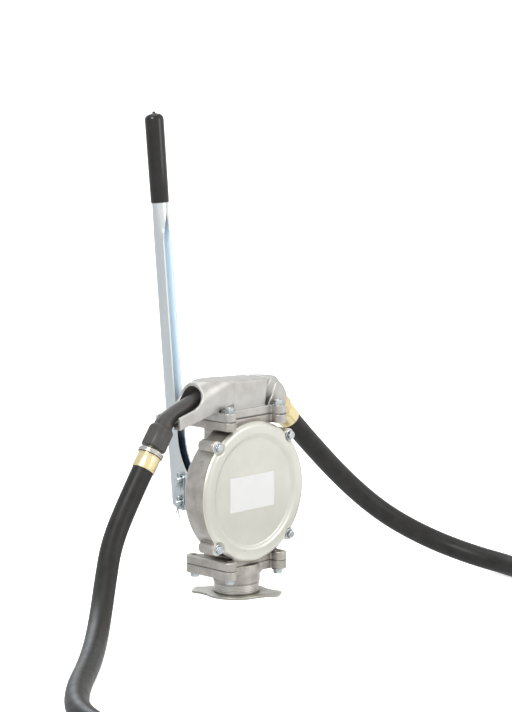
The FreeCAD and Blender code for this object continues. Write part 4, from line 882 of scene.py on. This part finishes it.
def dress_cad_nodes():
    """Gives every CAD node its finish. The screws, pins, cotters, straps and nut are zinc plated."""
    finish_of_node = {node: finish for finish, nodes in CAD_FINISHES.items() for node in nodes}
    for node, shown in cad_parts.items():
        shown.data.materials.clear()
        shown.data.materials.append(FINISHES[finish_of_node.get(node, "zinc_hardware")])


# ---------------------------------------------------------------- studio
SWEEP_NEAR, SWEEP_BEND = -5.0, 2.6      # the floor runs from in front of the pump to the bend behind it
SWEEP_RADIUS = 1.2
SWEEP_TOP = 5.0
SWEEP_HALF_WIDTH = 7.0


def make_floor():
    """A pale sweep: a floor that curves up into a wall far behind the pump."""
    back = Vector((math.sin(AZIMUTH), math.cos(AZIMUTH), 0))
    side = Vector((back.y, -back.x, 0))
    profile = [(SWEEP_NEAR, 0.0), (SWEEP_BEND, 0.0)]
    for turn in range(10, 91, 10):
        angle = math.radians(turn)
        profile.append((SWEEP_BEND + SWEEP_RADIUS * math.sin(angle), SWEEP_RADIUS * (1 - math.cos(angle))))
    profile.append((SWEEP_BEND + SWEEP_RADIUS, SWEEP_TOP))
    points, faces = [], []
    for depth, height in profile:
        for across in (-SWEEP_HALF_WIDTH, SWEEP_HALF_WIDTH):
            points.append(back * depth + side * across + Z_AXIS * height)
    for k in range(len(profile) - 1):
        faces.append((2 * k, 2 * k + 1, 2 * k + 3, 2 * k + 2))
    mesh = bpy.data.meshes.new("sweep")
    mesh.from_pydata(points, [], faces)
    mesh.shade_smooth()
    floor = bpy.data.objects.new("sweep", mesh)
    bpy.context.collection.objects.link(floor)
    paper = bpy.data.materials.new("paper")
    paper.use_nodes = True
    surface = paper.node_tree.nodes["Principled BSDF"]
    surface.inputs["Base Color"].default_value = (0.93, 0.93, 0.925, 1)
    surface.inputs["Roughness"].default_value = 0.9
    surface.inputs["Emission Color"].default_value = (1, 1, 1, 1)
    surface.inputs["Emission Strength"].default_value = 0.62
    mesh.materials.append(paper)
    floor.visible_glossy = False


def softbox(name, place, aim, size, power, colour=(1, 1, 1)):
    """Rectangular lamp at place, turned to aim."""
    data = bpy.data.lights.new(name, "AREA")
    data.shape = "RECTANGLE"
    data.size, data.size_y = size
    data.energy = power
    data.color = colour
    light = bpy.data.objects.new(name, data)
    bpy.context.collection.objects.link(light)
    light.location = place
    light.rotation_mode = "QUATERNION"
    light.rotation_quaternion = (Vector(aim) - Vector(place)).to_track_quat("-Z", "Y")


def make_studio():
    """The sweep, four lamps and a sky that is a little lighter to the right of the camera."""
    make_floor()
    softbox("key", (-2.6, -0.6, 2.4), (0, 0, 0.2), (1.4, 1.4), 50)
    softbox("fill", (1.2, -2.8, 1.3), (0, 0, 0.2), (1.6, 1.2), 12)
    softbox("top", (0.2, 0.2, 2.8), (0, 0, 0.2), (1.5, 1.5), 9)
    softbox("rim", (0.8, 2.2, 1.6), (0, 0, 0.3), (1.0, 1.6), 16, (0.86, 0.93, 1.0))
    world = bpy.data.worlds.new("studio")
    world.use_nodes = True
    tree = world.node_tree
    sky = tree.nodes["Background"]
    sky.inputs["Strength"].default_value = 0.98
    lean = tree.nodes.new("ShaderNodeVectorMath")
    lean.operation = "DOT_PRODUCT"
    lean.inputs[1].default_value = (0.66, -0.72, 0.2)
    tree.links.new(tree.nodes.new("ShaderNodeTexCoord").outputs["Generated"], lean.inputs[0])
    ramp = tree.nodes.new("ShaderNodeMapRange")
    ramp.inputs["From Min"].default_value = -0.9
    ramp.inputs["From Max"].default_value = 0.9
    tree.links.new(lean.outputs["Value"], ramp.inputs["Value"])
    tone = tree.nodes.new("ShaderNodeMix")
    tone.data_type = "RGBA"
    tone.inputs[6].default_value = (0.64, 0.665, 0.69, 1)
    tone.inputs[7].default_value = (1.0, 1.0, 0.99, 1)
    tree.links.new(ramp.outputs["Result"], tone.inputs[0])
    tree.links.new(tone.outputs[2], sky.inputs["Color"])
    bpy.context.scene.world = world
    bpy.context.scene.view_settings.view_transform = "Standard"


# ---------------------------------------------------------------- the whole pump
settle(hose, "pump", "hose_rubber", ("hose",))
make_castings()
make_thread()
make_flange_screws()
bevelled_copy("wing_collar", "collar", "collar_metal", 0.8)
make_cover()
make_cover_screws()
make_lever()
make_grip()
make_pins()
make_bracket_screws()
make_outlet_end()
make_nozzle()
dress_cad_nodes()
make_studio()
